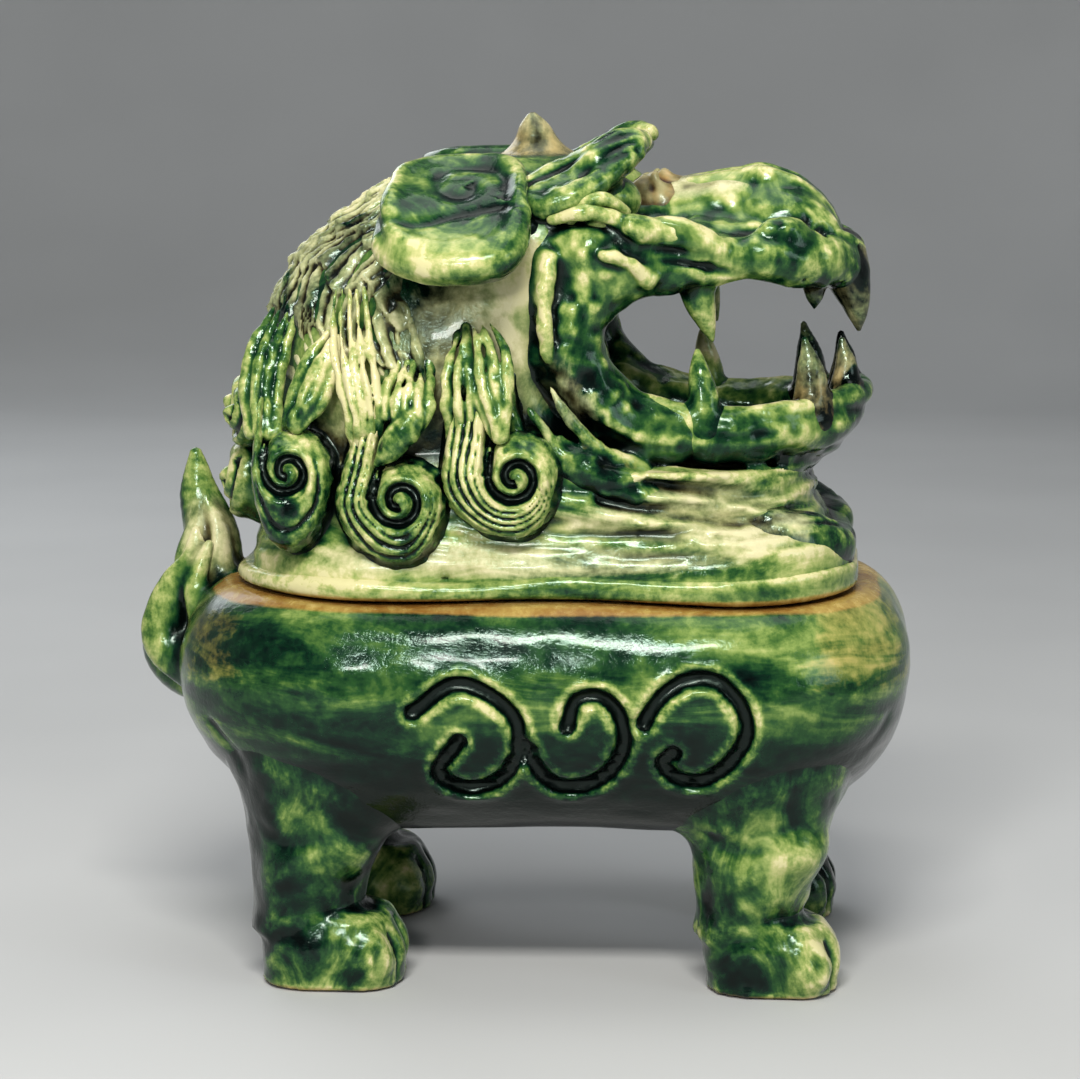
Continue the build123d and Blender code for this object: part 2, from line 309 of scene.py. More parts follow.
def rope(points, radii, flat=1.0, flat_axis=(0, 1, 0), detail=5):
    """A rolled strand through points; flat squeezes it along flat_axis."""
    rows = spline(np.column_stack([[at(*p) for p in points], radii]), detail * (len(points) - 1))
    normal = unit(flat_axis)
    widest = rows[:, 3].max() + 0.5

    def distance(x, y, z):
        best = np.full(np.broadcast_shapes(x.shape, y.shape, z.shape), FAR, np.float32)
        for a, b in zip(rows[:-1], rows[1:]):
            low = np.minimum(a[:3], b[:3]) - widest - REACH
            high = np.maximum(a[:3], b[:3]) + widest + REACH
            parts = tuple(slice(*np.searchsorted(v.reshape(-1), (low[i], high[i])))
                          for i, v in enumerate((x, y, z)))
            if min(s.stop - s.start for s in parts) <= 0:
                continue
            px, py, pz = x[parts[0]] - a[0], y[:, parts[1]] - a[1], z[:, :, parts[2]] - a[2]
            run = b[:3] - a[:3]
            t = np.clip((px * run[0] + py * run[1] + pz * run[2]) / max(run @ run, 1e-9), 0, 1)
            qx, qy, qz = px - t * run[0], py - t * run[1], pz - t * run[2]
            squared = qx * qx + qy * qy + qz * qz
            if flat != 1.0:
                off = qx * normal[0] + qy * normal[1] + qz * normal[2]
                squared = squared + (flat * flat - 1) * off * off
            best[parts] = np.minimum(best[parts], np.sqrt(squared) - (a[3] + t * (b[3] - a[3])))
        return best

    return rows[:, :3].min(0) - widest, rows[:, :3].max(0) + widest, distance


def leaf(centre, length_axis, facing, half_length, half_width, thick, relief, power, bend, twist, taper):
    """A flat leaf of clay with a rounded outline, bent along its length; relief shapes its face."""
    u = unit(length_axis)
    n = unit(np.asarray(facing, float) - (np.asarray(facing, float) @ u) * u)
    v = np.cross(n, u)
    centre = at(*centre)
    reach = max(half_length, half_width) + thick + abs(bend) + 1

    def distance(x, y, z):
        a, b, c = along((u, v, n), centre, x, y, z)
        a_share = a / half_length
        width = half_width * (1 - taper * a_share)
        c = c - bend * a_share ** 2 - twist * a_share * b / half_width
        q = (np.abs(a_share) ** power + np.abs(b / width) ** power + 1e-9) ** (1 / power)
        front = thick / 2 + relief(a, b, q)
        return smax((q - 1) * min(half_length, half_width), np.maximum(c - front, -c - thick / 2),
                    2.2).astype(np.float32)

    return centre - reach, centre + reach, distance


def spiral_gap(a, b, outer, inner, turns, start):
    """Distance in the plane from the line of a spiral that winds inwards from outer to inner radius."""
    r = np.sqrt(a * a + b * b) + 1e-6
    angle = (np.arctan2(b, a) - start) % (2 * np.pi)
    pitch = (outer - inner) / (2 * np.pi * turns)
    best = np.full(np.broadcast_shapes(a.shape, b.shape), FAR, np.float32)
    for k in range(int(math.ceil(turns)) + 1):
        wound = angle + 2 * np.pi * k
        best = np.minimum(best, np.where(wound <= 2 * np.pi * turns, np.abs(r - outer + pitch * wound), FAR))
    return best


def line_gap(a, b, points):
    """Distance in the plane from a smooth line through points."""
    rows = spline(points, 36)
    best = np.full(np.broadcast_shapes(a.shape, b.shape), FAR, np.float32)
    for p, q in zip(rows[:-1], rows[1:]):
        e = q - p
        t = np.clip(((a - p[0]) * e[0] + (b - p[1]) * e[1]) / max(e @ e, 1e-9), 0, 1)
        best = np.minimum(best, np.hypot(a - p[0] - t * e[0], b - p[1] - t * e[1]))
    return best


def cake(centre, facing, radius, tall, thick):
    """A strand wound up into a coil: a domed cake with a spiral pressed into its face."""
    n = unit(facing)
    up = unit(np.array([0, 0, 1.0]) - n[2] * n)
    axes = np.cross(up, n), up, n
    centre = at(*centre)
    reach = max(radius, tall) + 2

    def distance(x, y, z):
        a, b, c = along(axes, centre, x, y, z)
        r = np.sqrt((a / radius) ** 2 + (b / tall) ** 2 + 1e-9)
        gap = spiral_gap(a, b, radius * 0.80, 1.2, 1.4, 2.4)
        front = thick * np.sqrt(np.clip(1.12 - r * r * 0.85, 0, None)) - 2.4 * bump(gap, 0, 1.15)
        front = front + 0.8 * bump(np.hypot(a, b), 0, 2.0)
        return smax((r - 1) * min(radius, tall), np.maximum(c - front, -c - thick), 2.5).astype(np.float32)

    return centre - reach, centre + reach, distance


def block(low, high, step):
    """An empty block; one that starts at the middle plane, y = 0, can be mirrored."""
    return Clay(at(*low), at(*high), step * STEP_SCALE)


def moved(clay, first_y, values):
    """A block that holds other values and starts elsewhere across."""
    other = Clay((0, 0, 0), (1, 1, 1), clay.step)
    other.first = np.array([clay.first[0], first_y, clay.first[2]])
    other.d = values
    return other


def mirrored(clay):
    """A block built on the left side only, from y = 0, made whole by reflection."""
    return moved(clay, 1 - clay.d.shape[1], np.concatenate([clay.d[:, :0:-1], clay.d], 1))


def reflected(clay):
    """A left block's counterpart on the right."""
    return moved(clay, 1 - clay.first[1] - clay.d.shape[1], clay.d[:, ::-1].copy())


def united(clays):
    """Several blocks as one."""
    step = clays[0].step
    low = np.min([c.first for c in clays], 0) * step
    high = np.max([c.first + np.array(c.d.shape) - 1 for c in clays], 0) * step
    whole = Clay(low, high, step)
    for c in clays:
        window = tuple(slice(s, s + n) for s, n in zip(c.first - whole.first, c.d.shape))
        whole.d[window] = np.minimum(whole.d[window], c.d)
    return whole


def luted(clay, hosts, fillet, reach, deep=3.2):
    """Presses a piece onto its hosts: a smeared fillet where they meet, and nothing left deep inside."""
    grid = clay.grid()
    host = np.minimum.reduce([h.on(grid) for h in hosts])
    joined = smin(clay.d, host + 0.3, fillet)
    clay.d = np.maximum(np.maximum(joined, clay.d - reach), -(host + deep))
    return clay


# --- The bowl and what is luted to it --------------------------------------------------------------

# The three hooks pressed into each side of the bowl: points along each groove, level and upright.
HOOKS = (
    ((-26.5, 67), (-16.5, 73.5), (-5.5, 68), (-3, 59), (-8, 51), (-15.5, 49), (-21, 53), (-16.5, 60.5)),
    ((7.5, 64.5), (9.5, 70), (14.5, 71), (18.5, 67.5), (20, 61), (17, 54), (11.5, 50), (4.5, 50), (-0.5, 56),
     (-1, 59)),
    ((24, 65), (27.5, 70.5), (33, 74.5), (39.5, 74.5), (45, 69.5), (46.5, 62.5), (42.5, 55.5), (37, 51.5),
     (31.5, 52), (28.5, 55.5), (30.5, 58)),
)
# The haunch creases above the rear legs, and the shoulder above the front ones.
CREASES = ((-74, 40, 60), (-68, 42, 52), (-60, 41, 45)), ((66, 41, 47), (74, 39, 54), (79, 33, 62))


def on_side(path, sign):
    return [(x, sign * y, z) for x, y, z in path]


def make_bowl():
    bowl = cad_clay("bowl", 1.05)
    x, y, z = bowl.grid()
    outermost = np.where(bowl.d < 0, np.abs(y), 0).max(1)[:, None, :]
    skin = np.clip(np.abs(y) - outermost + 3.4, 0, 1) * (outermost > 40)
    relief = 0
    for hook in HOOKS:
        gap = line_gap(x[:, :, 0] - middle_x, z[:, 0, :], hook)
        relief = relief + 2.5 * np.exp(-(gap / 1.85) ** 4) - 0.55 * bump(gap, 2.8, 0.8)
    bowl.d = bowl.d + relief[:, None, :] * skin
    dents = 0.45 * noise(x, np.abs(y), z, 13) + 0.22 * noise(x * 0.35, np.abs(y) * 0.35, z, 3.2, 2)
    bowl.d = bowl.d + dents * ramp(z, seam_z - 3, seam_z - 9)
    for crease in CREASES:
        for sign in (1, -1):
            bowl.score(on_side(crease, sign), (0.6, 1.2, 0.6), 2.5)
    return bowl


def make_leg(end, bowl):
    """A stumpy leg, bowed like an S, flowing into the belly."""
    leg = lumps(cad_clay(f"{end}_left_leg", 0.8, margin=12), (0.8, 8, 3), (0.4, 3.5, 6))
    leg.d = leg.d - 0.2
    low, high = box(f"{end}_left_leg")
    x, y, _ = (low + high) / 2
    leg.swell((x - 3, y + 5, 26), (8, 8, 8), 5)
    leg.swell((x + 6, y + 5, 33), (8, 8, 6), 5)
    for path in (((12, 12, 22), (0, 15.5, 25), (-13, 12, 20)), ((-14, 10, 38), (-6, 15, 34), (3, 16.5, 36)),
                 ((13, 10, 16), (7, 15, 12), (9, 14, 6))):
        leg.score([(x + a, y + b, z) for a, b, z in path], (0.8, 1.6, 0.8), 2.5)
    return luted(leg, [bowl], 7, 10)


def make_paw(end, leg):
    """A paw whose toes are pushed out in front."""
    name = f"{end}_left_paw"
    paw = cad_clay(name, 0.7, margin=6, warp=False)
    low, high = box(name)
    inset = 1.6 if end == "front" else 0.6
    z = paw.grid()[2]
    # Below 4 mm the outline is the one at 4 mm, so the sole's edge stays as wide as the paw.
    level = (np.clip(z.reshape(-1), 4, None) / paw.step - paw.first[2]).astype(int)
    paw.d = paw.d[:, :, level] + inset
    for i, across in enumerate((-10.5, -3.6, 3.6, 10.5)):
        x, y = high[0] - 5.4 - inset - 1.8 * abs(i - 1.5), (low[1] + high[1]) / 2 + across
        paw.swell((x, y, 7.0), (6.0, 4.2, 7.0), 1.6)
        for lift in (4.5, 9.5):
            paw.press((x + 4.8, y + 3.5, lift), (2.6, 0.7, 4.0), 1.0)
    paw = luted(lumps(paw, (0.5, 7, 5), (0.25, 3, 4)), [leg], 4, 5, deep=5)
    paw.d = np.maximum(paw.d, -z)
    return paw


def make_tail_flame(bowl):
    tail = block((-95, 0, 70), (-66, 14, 122), 0.7)
    path = (-76, 0, 76), (-80, 0, 86), (-79.5, 0, 96), (-82.5, 0, 106), (-83.4, 0, 116)
    tail.add(rope(path, (9, 7.4, 6.6, 5.0, 1.6), 1.15), 1)
    for y, x in ((4.5, -4), (5.5, 3)):
        side = (x - 79, y, 80), (x - 80.5, y, 90), (0.6 * x - 80, y - 1, 99), (-82, y - 3, 107)
        tail.roll(side, (3.4, 3.6, 3.0, 1.2), 1.2)
    tail.score(((-79, 8, 78), (-82, 8.5, 88), (-79.5, 7.5, 98), (-82, 5, 108)), (1, 1.2, 1, 0.5), 1.6)
    return luted(lumps(mirrored(tail), (0.35, 6, 7)), [bowl], 4, 6)


def make_tail_leaf(bowl):
    tail = block((-99, -1, 58), (-66, 24, 102), 0.7)
    path = (-76, 12, 70), (-84, 12, 68), (-90, 10, 74), (-88, 9, 84), (-83, 8, 92), (-82.5, 6.5, 99)
    tail.add(rope(path, (4.0, 4.6, 5.0, 4.4, 3.4, 1.2), 1.5, (0, 1, 0.1)), 1)
    tail.score(((-82, 17, 72), (-86.5, 15, 78), (-84, 13.5, 88)), (1.0, 1.2, 0.8), 1.5)
    tail.roll(((-74, 15, 84), (-79, 13, 80), (-82, 11, 86), (-79, 9, 96)), (2.6, 3.0, 2.6, 1.2), 1.5)
    return luted(lumps(tail, (0.3, 5, 8)), [bowl], 4, 6)


def make_tail_curl(bowl):
    tail = block((-100, 0, 58), (-70, 12, 86), 0.65)
    path = (-78, 0, 64), (-85, 0, 64.5), (-91, 0, 69), (-94.5, 0, 76.5)
    tail.add(rope(path, (6.5, 6.8, 5.4, 1.8), 0.9), 1)
    tail.swell((-88, 0, 71), (6, 7.5, 6), 2)
    tail.score(((-80, 7, 68), (-86, 7.5, 68), (-91, 5, 73)), (1.0, 1.2, 0.6), 1.4)
    return luted(mirrored(tail), [bowl], 4, 6)


# --- The lid's big forms ----------------------------------------------------------------------------

def make_flange():
    """The lid's rim: a slab with a soft, uneven edge, thinner behind than in front."""
    flange = cad_clay("lid_flange", 0.9)
    x, y, z = flange.grid()
    top = seam_z + 4.6 + 2.2 * ramp(x, flange_low[0], flange_high[0]) + 0.6 * np.sin(x / 9.0)
    top = top + 0.5 * noise(x, np.abs(y), z, 12, 4)
    flange.d = flange.d + 0.45 * noise(x, np.abs(y), z, 9, 4) * ramp(z, seam_z + 1, seam_z + 4)
    flange.d = smax(flange.d - 0.4, z - top, 3.0)
    flange.d = smax(flange.d, (seam_z + hand_warp(x, y, seam_z)[2]) - z, 1.6)
    return flange


def wrinkles(x, y, z, pitch, wander, seed):
    """Ridges that lie nearly level, from scraping the clay sideways."""
    lift = z + wander * noise(x, np.abs(y), z * 0.6, 19, seed) + 0.6 * noise(x, np.abs(y), z, 5, seed + 1)
    return np.sin(lift * (2 * np.pi / pitch)) * (0.55 + 0.45 * noise(x, np.abs(y), z, 9, seed + 2))


# Rolls of clay under the jaw: those along the chest, and those that fill up to the jaw.
NECK_ROLLS = (
    (((44, 36, 107), (55, 33, 104), (63, 26, 101), (68, 14, 99)), (1.8, 3.0, 3.0, 2.4)),
    (((34, 43, 103), (50, 40, 99.5), (63, 32, 97), (70, 14, 96)), (1.8, 3.0, 3.2, 2.6)),
    (((-4, 40, 122), (8, 37.5, 118), (20, 34.5, 115), (34, 31, 114.5), (46, 25, 114.5), (52, 14, 114),
      (53, 0, 113.5)), (4.0, 4.6, 4.6, 4.4, 4.4, 4.4, 4.4)),
    (((0, 41.5, 112), (14, 41.5, 109.5), (30, 39, 107.5), (46, 33, 107)), (3.0, 3.2, 2.6, 1.4)),
    (((40, 29, 110), (49, 24, 111), (55, 14, 111), (56, 0, 111)), (3.4, 4.8, 4.8, 4.6)),
)
NECK_FOLDS = (
    ((40, 38, 110), (53, 35, 105.5), (64, 27, 101.5), (71, 14, 100)),
    ((16, 46, 104), (34, 45.5, 101), (50, 42, 98.5), (64, 33, 97)),
    ((24, 40, 116), (40, 36, 113), (54, 31, 110.5)),
    ((14, 42, 112), (28, 42, 109.5), (44, 38, 107)),
)


def make_neck(flange):
    neck = cad_clay("neck", 0.9, margin=12)
    for sign in (1, -1):
        hollow = on_side(((48, 50, 115), (66, 38, 113), (77, 18, 112.5), (79, -2, 112.5)), sign)
        neck.score(hollow, (9, 12, 14, 14.5), 5)
        for path, radii in NECK_ROLLS:
            neck.roll(on_side(path, sign), radii, 4.0)
    x, y, z = neck.grid()
    chest = ramp(x, middle_x + 6, middle_x + 20) * ramp(z, 95, 99)
    neck.d = neck.d - chest * (0.9 * wrinkles(x, y, z, 5.2, 3.4, 1) + 0.4 * wrinkles(x, y, z, 2.6, 2.0, 8))
    neck.d = neck.d - (1 - chest) * 0.25 * wrinkles(x, y, z, 3.2, 2.0, 5)
    for sign in (1, -1):
        for fold in NECK_FOLDS:
            neck.score(on_side(fold, sign), (0.5, 0.9, 0.9, 0.5)[:len(fold)], 2.4)
    neck = luted(neck, [flange], 12, 12)
    bed_z = seam_z + 3.0
    footprint = flange.on((x, y, np.full((1, 1, 1), bed_z, np.float32)))
    neck.d = np.maximum(smax(neck.d, footprint + 1.0, 3.0), bed_z - z)
    return neck


def make_skull(neck):
    skull = cad_clay("skull", 1.0, margin=10)
    for sign in (1, -1):
        skull.swell((-2, sign * 30, 160), (14, 8, 16), 10)
        skull.swell((10, sign * 22, 177), (12, 9, 7), 8)
        skull.press((17, sign * 31, 171), (6.5, 5, 5), 3)
    return luted(lumps(skull, (0.3, 10, 9)), [neck], 6, 6)


def make_muzzle(skull):
    muzzle = block((4, 0, 150), (82, 36, 190), 0.6)
    muzzle.swell((34, 0, 170), (30, 13, 11), 2)
    muzzle.swell((45, 6, 172), (20, 9, 9.2), 4)
    muzzle.swell((36, 16, 166), (28, 11, 6.5), 4)
    muzzle.swell((56, 6, 165), (14, 11, 5.5), 4)
    lip = ((9, 29, 153.5), (14, 30, 158.5), (21, 30.5, 161.6), (29, 30, 162.2), (36, 28.5, 163),
           (45, 26.5, 164.6), (53, 23.5, 164), (60, 18, 163.6), (65.5, 12, 162.5), (68, 5, 162.5),
           (68.5, 0, 162.5))
    muzzle.roll(lip, (4.6, 5.4, 5.6, 5.6, 5.4, 5.0, 5.6, 6.2, 5.4, 4.8, 4.6), 3)
    under_eye = (15, 32, 166), (21, 33.5, 170), (29, 33.2, 170.5), (37, 31.5, 167.5), (44, 29.5, 164.5)
    muzzle.roll(under_eye, (1.6, 3.2, 3.4, 3.2, 2.0), 1.4)
    muzzle.roll(((46, 26, 168), (53, 24, 170), (59, 20, 167), (63, 17, 162)), (1.8, 3.4, 3.2, 2.0), 1.6)
    muzzle.roll(((62, 14, 170.5), (67, 11, 167.5), (70.5, 7.5, 165)), (1.6, 2.4, 2.0), 1.2)
    muzzle.swell((68, 7, 159), (3.8, 4.6, 5.5), 3)
    beside_bridge = (26, 27, 176), (36, 25.5, 174), (46, 23.5, 171.5), (54, 21, 172)
    muzzle.score(beside_bridge, (1.4, 2.6, 2.4, 1.0), 2.0)
    muzzle.score(((58, 24, 160), (61, 20, 166), (62, 16, 171)), (0.8, 1.4, 0.8), 1.2)
    muzzle.score(((66, 15, 158), (66.5, 13, 163), (68, 10, 167)), (0.7, 1.1, 0.6), 1.2)
    muzzle.score(((24, 36.5, 165), (34, 34, 163.5), (44, 31.5, 160.5)), (0.6, 1.0, 0.6), 1.2)
    muzzle.press((38, 0, 150), (31, 23.5, 12.5), 2)
    return luted(lumps(mirrored(muzzle), (0.55, 5.5, 12), (0.3, 2.6, 13)), [skull], 5, 7, deep=4)


def make_jaw(skull, neck):
    jaw = block((6, 0, 110), (84, 38, 142), 0.6)
    jaw.swell((38, 0, 120), (32, 25, 5.5), 2)
    band = ((14, 27.5, 130), (24, 28.5, 126), (36, 28, 125), (47, 26.5, 125.2), (56, 22.5, 126),
            (63, 15, 126.8), (66.5, 7, 127), (67, 0, 127))
    jaw.roll(band, (6.5, 6.2, 5.8, 5.6, 5.4, 5.6, 5.6, 5.6), 3)
    lip = ((16, 30, 137), (24, 30.8, 131.5), (34, 30, 129.4), (45, 28.4, 129.2), (55, 25.5, 130),
           (62, 20, 131.2), (68, 12.5, 132.2), (71.3, 6, 132.4), (72, 0, 132.4))
    jaw.roll(lip, (2.0, 2.6, 2.7, 2.4, 2.4, 2.6, 2.8, 2.8, 2.6), 1.2)
    jaw.press((34, 0, 133), (33, 22.5, 9.5), 2)
    jaw.score(((22, 35, 123), (34, 34.5, 119.5), (48, 31.5, 118.8), (62, 23, 120)), (1.0, 1.6, 1.6, 1.0), 1.6)
    jaw.score(((30, 35, 127), (42, 34, 125.4), (52, 31, 126)), (0.5, 1.0, 0.5), 1.6)
    jaw = lumps(mirrored(jaw), (0.5, 5.5, 14), (0.3, 2.6, 15))
    x, _, z = jaw.grid()
    chin = (x - middle_x - 75) * 0.75 - (z - 129) * 0.66  # slopes back to the throat
    jaw.d = smax(jaw.d, chin, 3.0).astype(np.float32)
    return luted(jaw, [skull, neck], 4, 5, deep=4)


# Loose flakes and ridges on the cheek: path, radii and blend.
FLAKES = (
    (((2.5, 38.5, 165), (1.5, 40.5, 158), (1.5, 41, 150), (2.0, 40.5, 143)), (1.0, 1.8, 1.8, 1.2), 0.8),
    (((3, 37.5, 173.5), (9, 38.5, 175), (14, 37.5, 174.5), (20, 35.5, 172)), (0.9, 1.8, 1.7, 1.2), 1.0),
    (((20, 37.0, 172.5), (22.5, 36.5, 171.5)), (2.0, 1.8), 0.5),
    (((14, 41, 166), (20, 38.5, 164), (24, 36.5, 160)), (0.8, 1.5, 0.9), 1.2),
    (((2, 41, 138), (7, 41, 130), (14, 39, 123), (22, 36, 119)), (0.6, 1.3, 1.2, 0.5), 2.2),
    (((-2, 41.5, 132), (5, 41.5, 123), (14, 41, 116.5), (24, 38.5, 113)), (0.5, 1.2, 1.3, 0.5), 2.2),
    (((9, 39, 138), (14, 38.5, 131.5), (20, 36.5, 126.5), (29, 34.5, 124)), (0.8, 1.4, 1.5, 0.9), 1.0),
    (((-7, 40.5, 138), (-5, 41.5, 128), (1, 42, 120)), (0.5, 1.0, 0.6), 2.2),
    (((5, 41, 126), (12, 40, 119), (20, 38, 115)), (0.4, 1.0, 0.5), 1.6),
)


def make_cheek(hosts):
    cheek = block((-8, 18, 108), (40, 48, 182), 0.55)
    band = ((26, 29, 164), (18, 30.5, 162), (11, 32, 157), (7, 33, 150), (7.5, 33.5, 142), (12, 33, 134.5),
            (19, 31.5, 128), (28, 30, 124.5))
    cheek.roll(band, (4.4, 6.2, 7.2, 7.6, 7.6, 7.0, 5.8, 4.6), 3)
    cheek.swell((11, 33, 166), (9, 7, 7), 5)
    for path, radii, blend in FLAKES:
        cheek.roll(path, radii, blend)
    cheek.score(((16.5, 39, 152), (14.5, 40.5, 145), (16.5, 39, 138)), (0.8, 1.3, 0.8), 1.6)
    cheek.score(((6, 42, 166), (4.5, 42.5, 157), (4.8, 42.5, 148)), (0.6, 1.0, 0.6), 1.2)
    return luted(lumps(cheek, (0.5, 5, 16), (0.42, 2.4, 17)), hosts, 4.5, 6, deep=4)


# --- Features of the face ---------------------------------------------------------------------------

def make_nose(hosts):
    nose = block((30, 0, 156), (76, 24, 190), 0.5)
    nose.swell((54.0, 0, 173), (9.0, 9, 7.4), 2)
    nose.swell((53.5, 11, 171.5), (9.5, 6.8, 7.4), 3)
    nose.swell((61, 8, 169.5), (5, 6, 5), 3)
    bridge = (33, 5, 178.5), (42, 5.5, 180.4), (49, 7, 181), (55.5, 7.5, 179), (59.5, 6, 175)
    nose.roll(bridge, (1.4, 2.4, 2.8, 2.6, 1.8), 2.5)
    swirl = (45, 17, 176), (50, 19, 178), (56, 18.5, 177), (59, 17.5, 172.5), (56, 18.5, 169), (51, 19, 171)
    nose.score(swirl, (0.7, 1.2, 1.3, 1.3, 1.1, 0.7), 1.2)
    nose.press((61.5, 13, 170), (2.2, 2.6, 2.0), 1.5)
    nose.score(((46, 0, 184), (54, 0, 182.4), (62, 0, 176)), (0.6, 1.4, 1.0), 2)
    return luted(lumps(mirrored(lumps(nose, (0.28, 2.4, 19))), (0.45, 5, 18)), hosts, 3.5, 5)


def make_frown(hosts):
    frown = block((12, 0, 164), (38, 14, 192), 0.5)
    frown.swell((24.0, 0, 174.5), (4.2, 6.0, 7.6), 1)
    frown.swell((22.0, 6.0, 176.0), (3.4, 3.4, 5.6), 1.0)
    for path in (((26, 2.2, 182), (28.6, 3.6, 177.5), (29.5, 4.4, 171)),
                 ((24, 7.2, 181.5), (26.2, 8.4, 177), (26.5, 9.5, 170))):
        frown.roll(path, (1.0, 1.7, 1.2), 0.8)
    for path in (((24, 4.8, 184), (27.2, 6.4, 177.5), (27.6, 7.6, 170)),
                 ((27, 0, 184), (30.2, 0, 177), (30.6, 0, 170)),
                 ((19, 9.5, 182), (22.6, 11, 176), (23.4, 12, 170))):
        frown.score(path, (0.6, 1.1, 0.8), 1.0)
    return luted(lumps(mirrored(lumps(frown, (0.35, 2.0, 21))), (0.6, 4.0, 20)), hosts, 3, 4)


def tooth(points, radii, hosts):
    room = max(radii) + 3
    fang = block(np.min(points, 0) - room, np.max(points, 0) + room, 0.45)
    fang.add(rope(points, radii, detail=6), 0)
    return luted(lumps(fang, (0.18, 3, 22)), hosts, 2.2, 3.0, deep=5)


def front_teeth(pairs, hosts):
    """The teeth across the front of one jaw, given by their left halves."""
    left = [tooth(points, radii, hosts) for points, radii in pairs]
    return united(left + [reflected(one) for one in left])


UPPER_FANG = ((34, 26.5, 163), (34.5, 26.5, 157), (36, 26, 151.5), (37.8, 25, 146)), (4.6, 3.9, 2.6, 0.7)
LOWER_FANG = ((36, 29, 127), (36, 29, 133), (35, 28, 139), (34.6, 27, 143.6)), (4.2, 3.5, 2.4, 0.7)
UPPER_FRONT = (
    (((66.5, 7.5, 164), (68.5, 8.2, 158.5), (70, 8, 153), (70.8, 7.4, 147)), (4.8, 4.6, 3.2, 0.7)),
    (((60, 15, 162), (60.5, 15, 156.5), (60.5, 14.5, 152.5)), (3.0, 2.3, 0.6)),
)
LOWER_FRONT = (
    (((67, 8.5, 130), (68, 8.5, 137), (67, 8, 144.5)), (4.0, 3.0, 0.8)),
    (((60, 19, 128), (60, 19, 137), (58.5, 19, 145.5)), (4.6, 3.4, 0.8)),
)


def make_horn(skull):
    low, high = box("horn")
    x = (low[0] + high[0]) / 2
    horn = block(low - 10, high + 3, 0.5)
    horn.roll(((x + 1, 0, 181), (x + 0.5, 0, 186), (x, 0, 190.5), (x - 0.5, 0, high[2] - 1.6)),
              (8.2, 6.0, 3.9, 1.6), 0)
    return luted(lumps(horn, (0.35, 4, 24)), [skull], 5, 6)


def make_ear(skull):
    """A drooping ear: a thick leaf whose lower edge is rolled up."""
    low, high = box("left_ear")
    middle = (low[0] + high[0]) / 2
    root, tip = np.array([middle, low[1], high[2] - 3]), np.array([middle, high[1] - 2.5, low[2] + 7])
    ear = block(low - 7, high + 7, 0.55)

    def relief(a, b, q):
        swirl = spiral_gap(b * 0.8 + 1, a * 0.75 + 3, 8.5, 1.0, 1.2, 2.6)
        rim = 0.9 * bump(q, 0.86, 0.13) - 1.2 * np.clip(1 - q, 0, 1)
        return rim - 0.7 * bump(swirl, 0, 1.8) - 0.9 * bump(a, 8 + 3.5 * np.sin(b / 7.0), 2.0)

    facing = np.cross(tip - root, (-1, 0, 0))
    ear.add(leaf((root + tip) / 2 + (-1.8, 0, 1.0), tip - root, facing * np.sign(facing[2]), 21.5, 15.8, 7.5,
                 relief, power=3.4, bend=-3.5, twist=1.2, taper=-0.03), 0)
    rolled = ((-34, 43, 172), (-32.5, 49, 167.2), (-26, 53, 165), (-17, 54.5, 164.6), (-9, 53.5, 165.4),
              (-4.5, 49, 169), (-3.5, 42, 175))
    ear.roll(rolled, (2.0, 3.2, 3.7, 3.8, 3.6, 3.0, 2.0), 2.0)
    return luted(lumps(ear, (0.5, 10, 26), (0.16, 3.2, 27)), [skull], 4, 5)


def make_brow(skull):
    """A flame-shaped brow that stands out over the eye, its tip scored with hairs."""
    brow = block((-10, 4, 166), (34, 46, 200), 0.5)

    def relief(a, b, q):
        hairs = 0.45 * np.sin((b + 0.2 * a) * 2.6) * ramp(a, 1, 7) * np.clip((0.98 - q) * 8, 0, 1)
        return 1.4 * np.clip(1 - q, 0, 1) - hairs - 0.8 * bump(b, -1.5, 1.2)

    brow.add(leaf((9.5, 27, 183.0), (24, -7, 10.5), (-0.25, 0.62, 0.74), 14.2, 7.0, 4.4, relief, power=2.2,
                  bend=1.2, twist=-0.8, taper=0.2), 0)
    ridge = (-4.5, 33.5, 177.5), (1, 36, 176.2), (7, 35.5, 178.2), (13, 32.5, 181.6), (19, 27.5, 186.4)
    brow.roll(ridge, (1.8, 2.8, 3.0, 2.6, 1.8), 1.4)
    brow.roll(((12, 27, 186.5), (17.5, 23, 189.5), (22, 19.5, 190.5)), (2.6, 2.6, 2.0), 3.5)
    return luted(lumps(brow, (0.35, 5, 28), (0.2, 2.2, 29)), [skull], 3.0, 4.5)


def make_eye(skull):
    eye = block((4, 18, 160), (26, 44, 184), 0.45)
    eye.swell((12.8, 33, 172.4), (4.2, 3.6, 4.4), 0)
    eyelid = (6.5, 34, 172), (9, 36.5, 176.4), (14, 36.5, 178), (19, 33.5, 175)
    eye.roll(eyelid, (1.0, 1.6, 1.6, 1.0), 0.8)
    return luted(lumps(eye, (0.2, 3, 30)), [skull], 2.5, 3.5)


# --- Mane, locks and curls --------------------------------------------------------------------------

STRANDS_ROUND = 54  # how many millimetres of combing go to one radian round the crown
TIERS = (24, 0.7), (36, 1.0), (47, 1.1), (58, 1.3), (68, 1.4)  # how far down each tier ends, and its drop


def hair_frame(x, y, z):
    """Angle round the crown, and how far down from it, for combing the mane."""
    dx, dy = x - (middle_x - 6.0), np.abs(y)
    return np.arctan2(dy, -dx + 0.25 * (188 - z)), np.sqrt(dx * dx + dy * dy + (190 - z) ** 2)


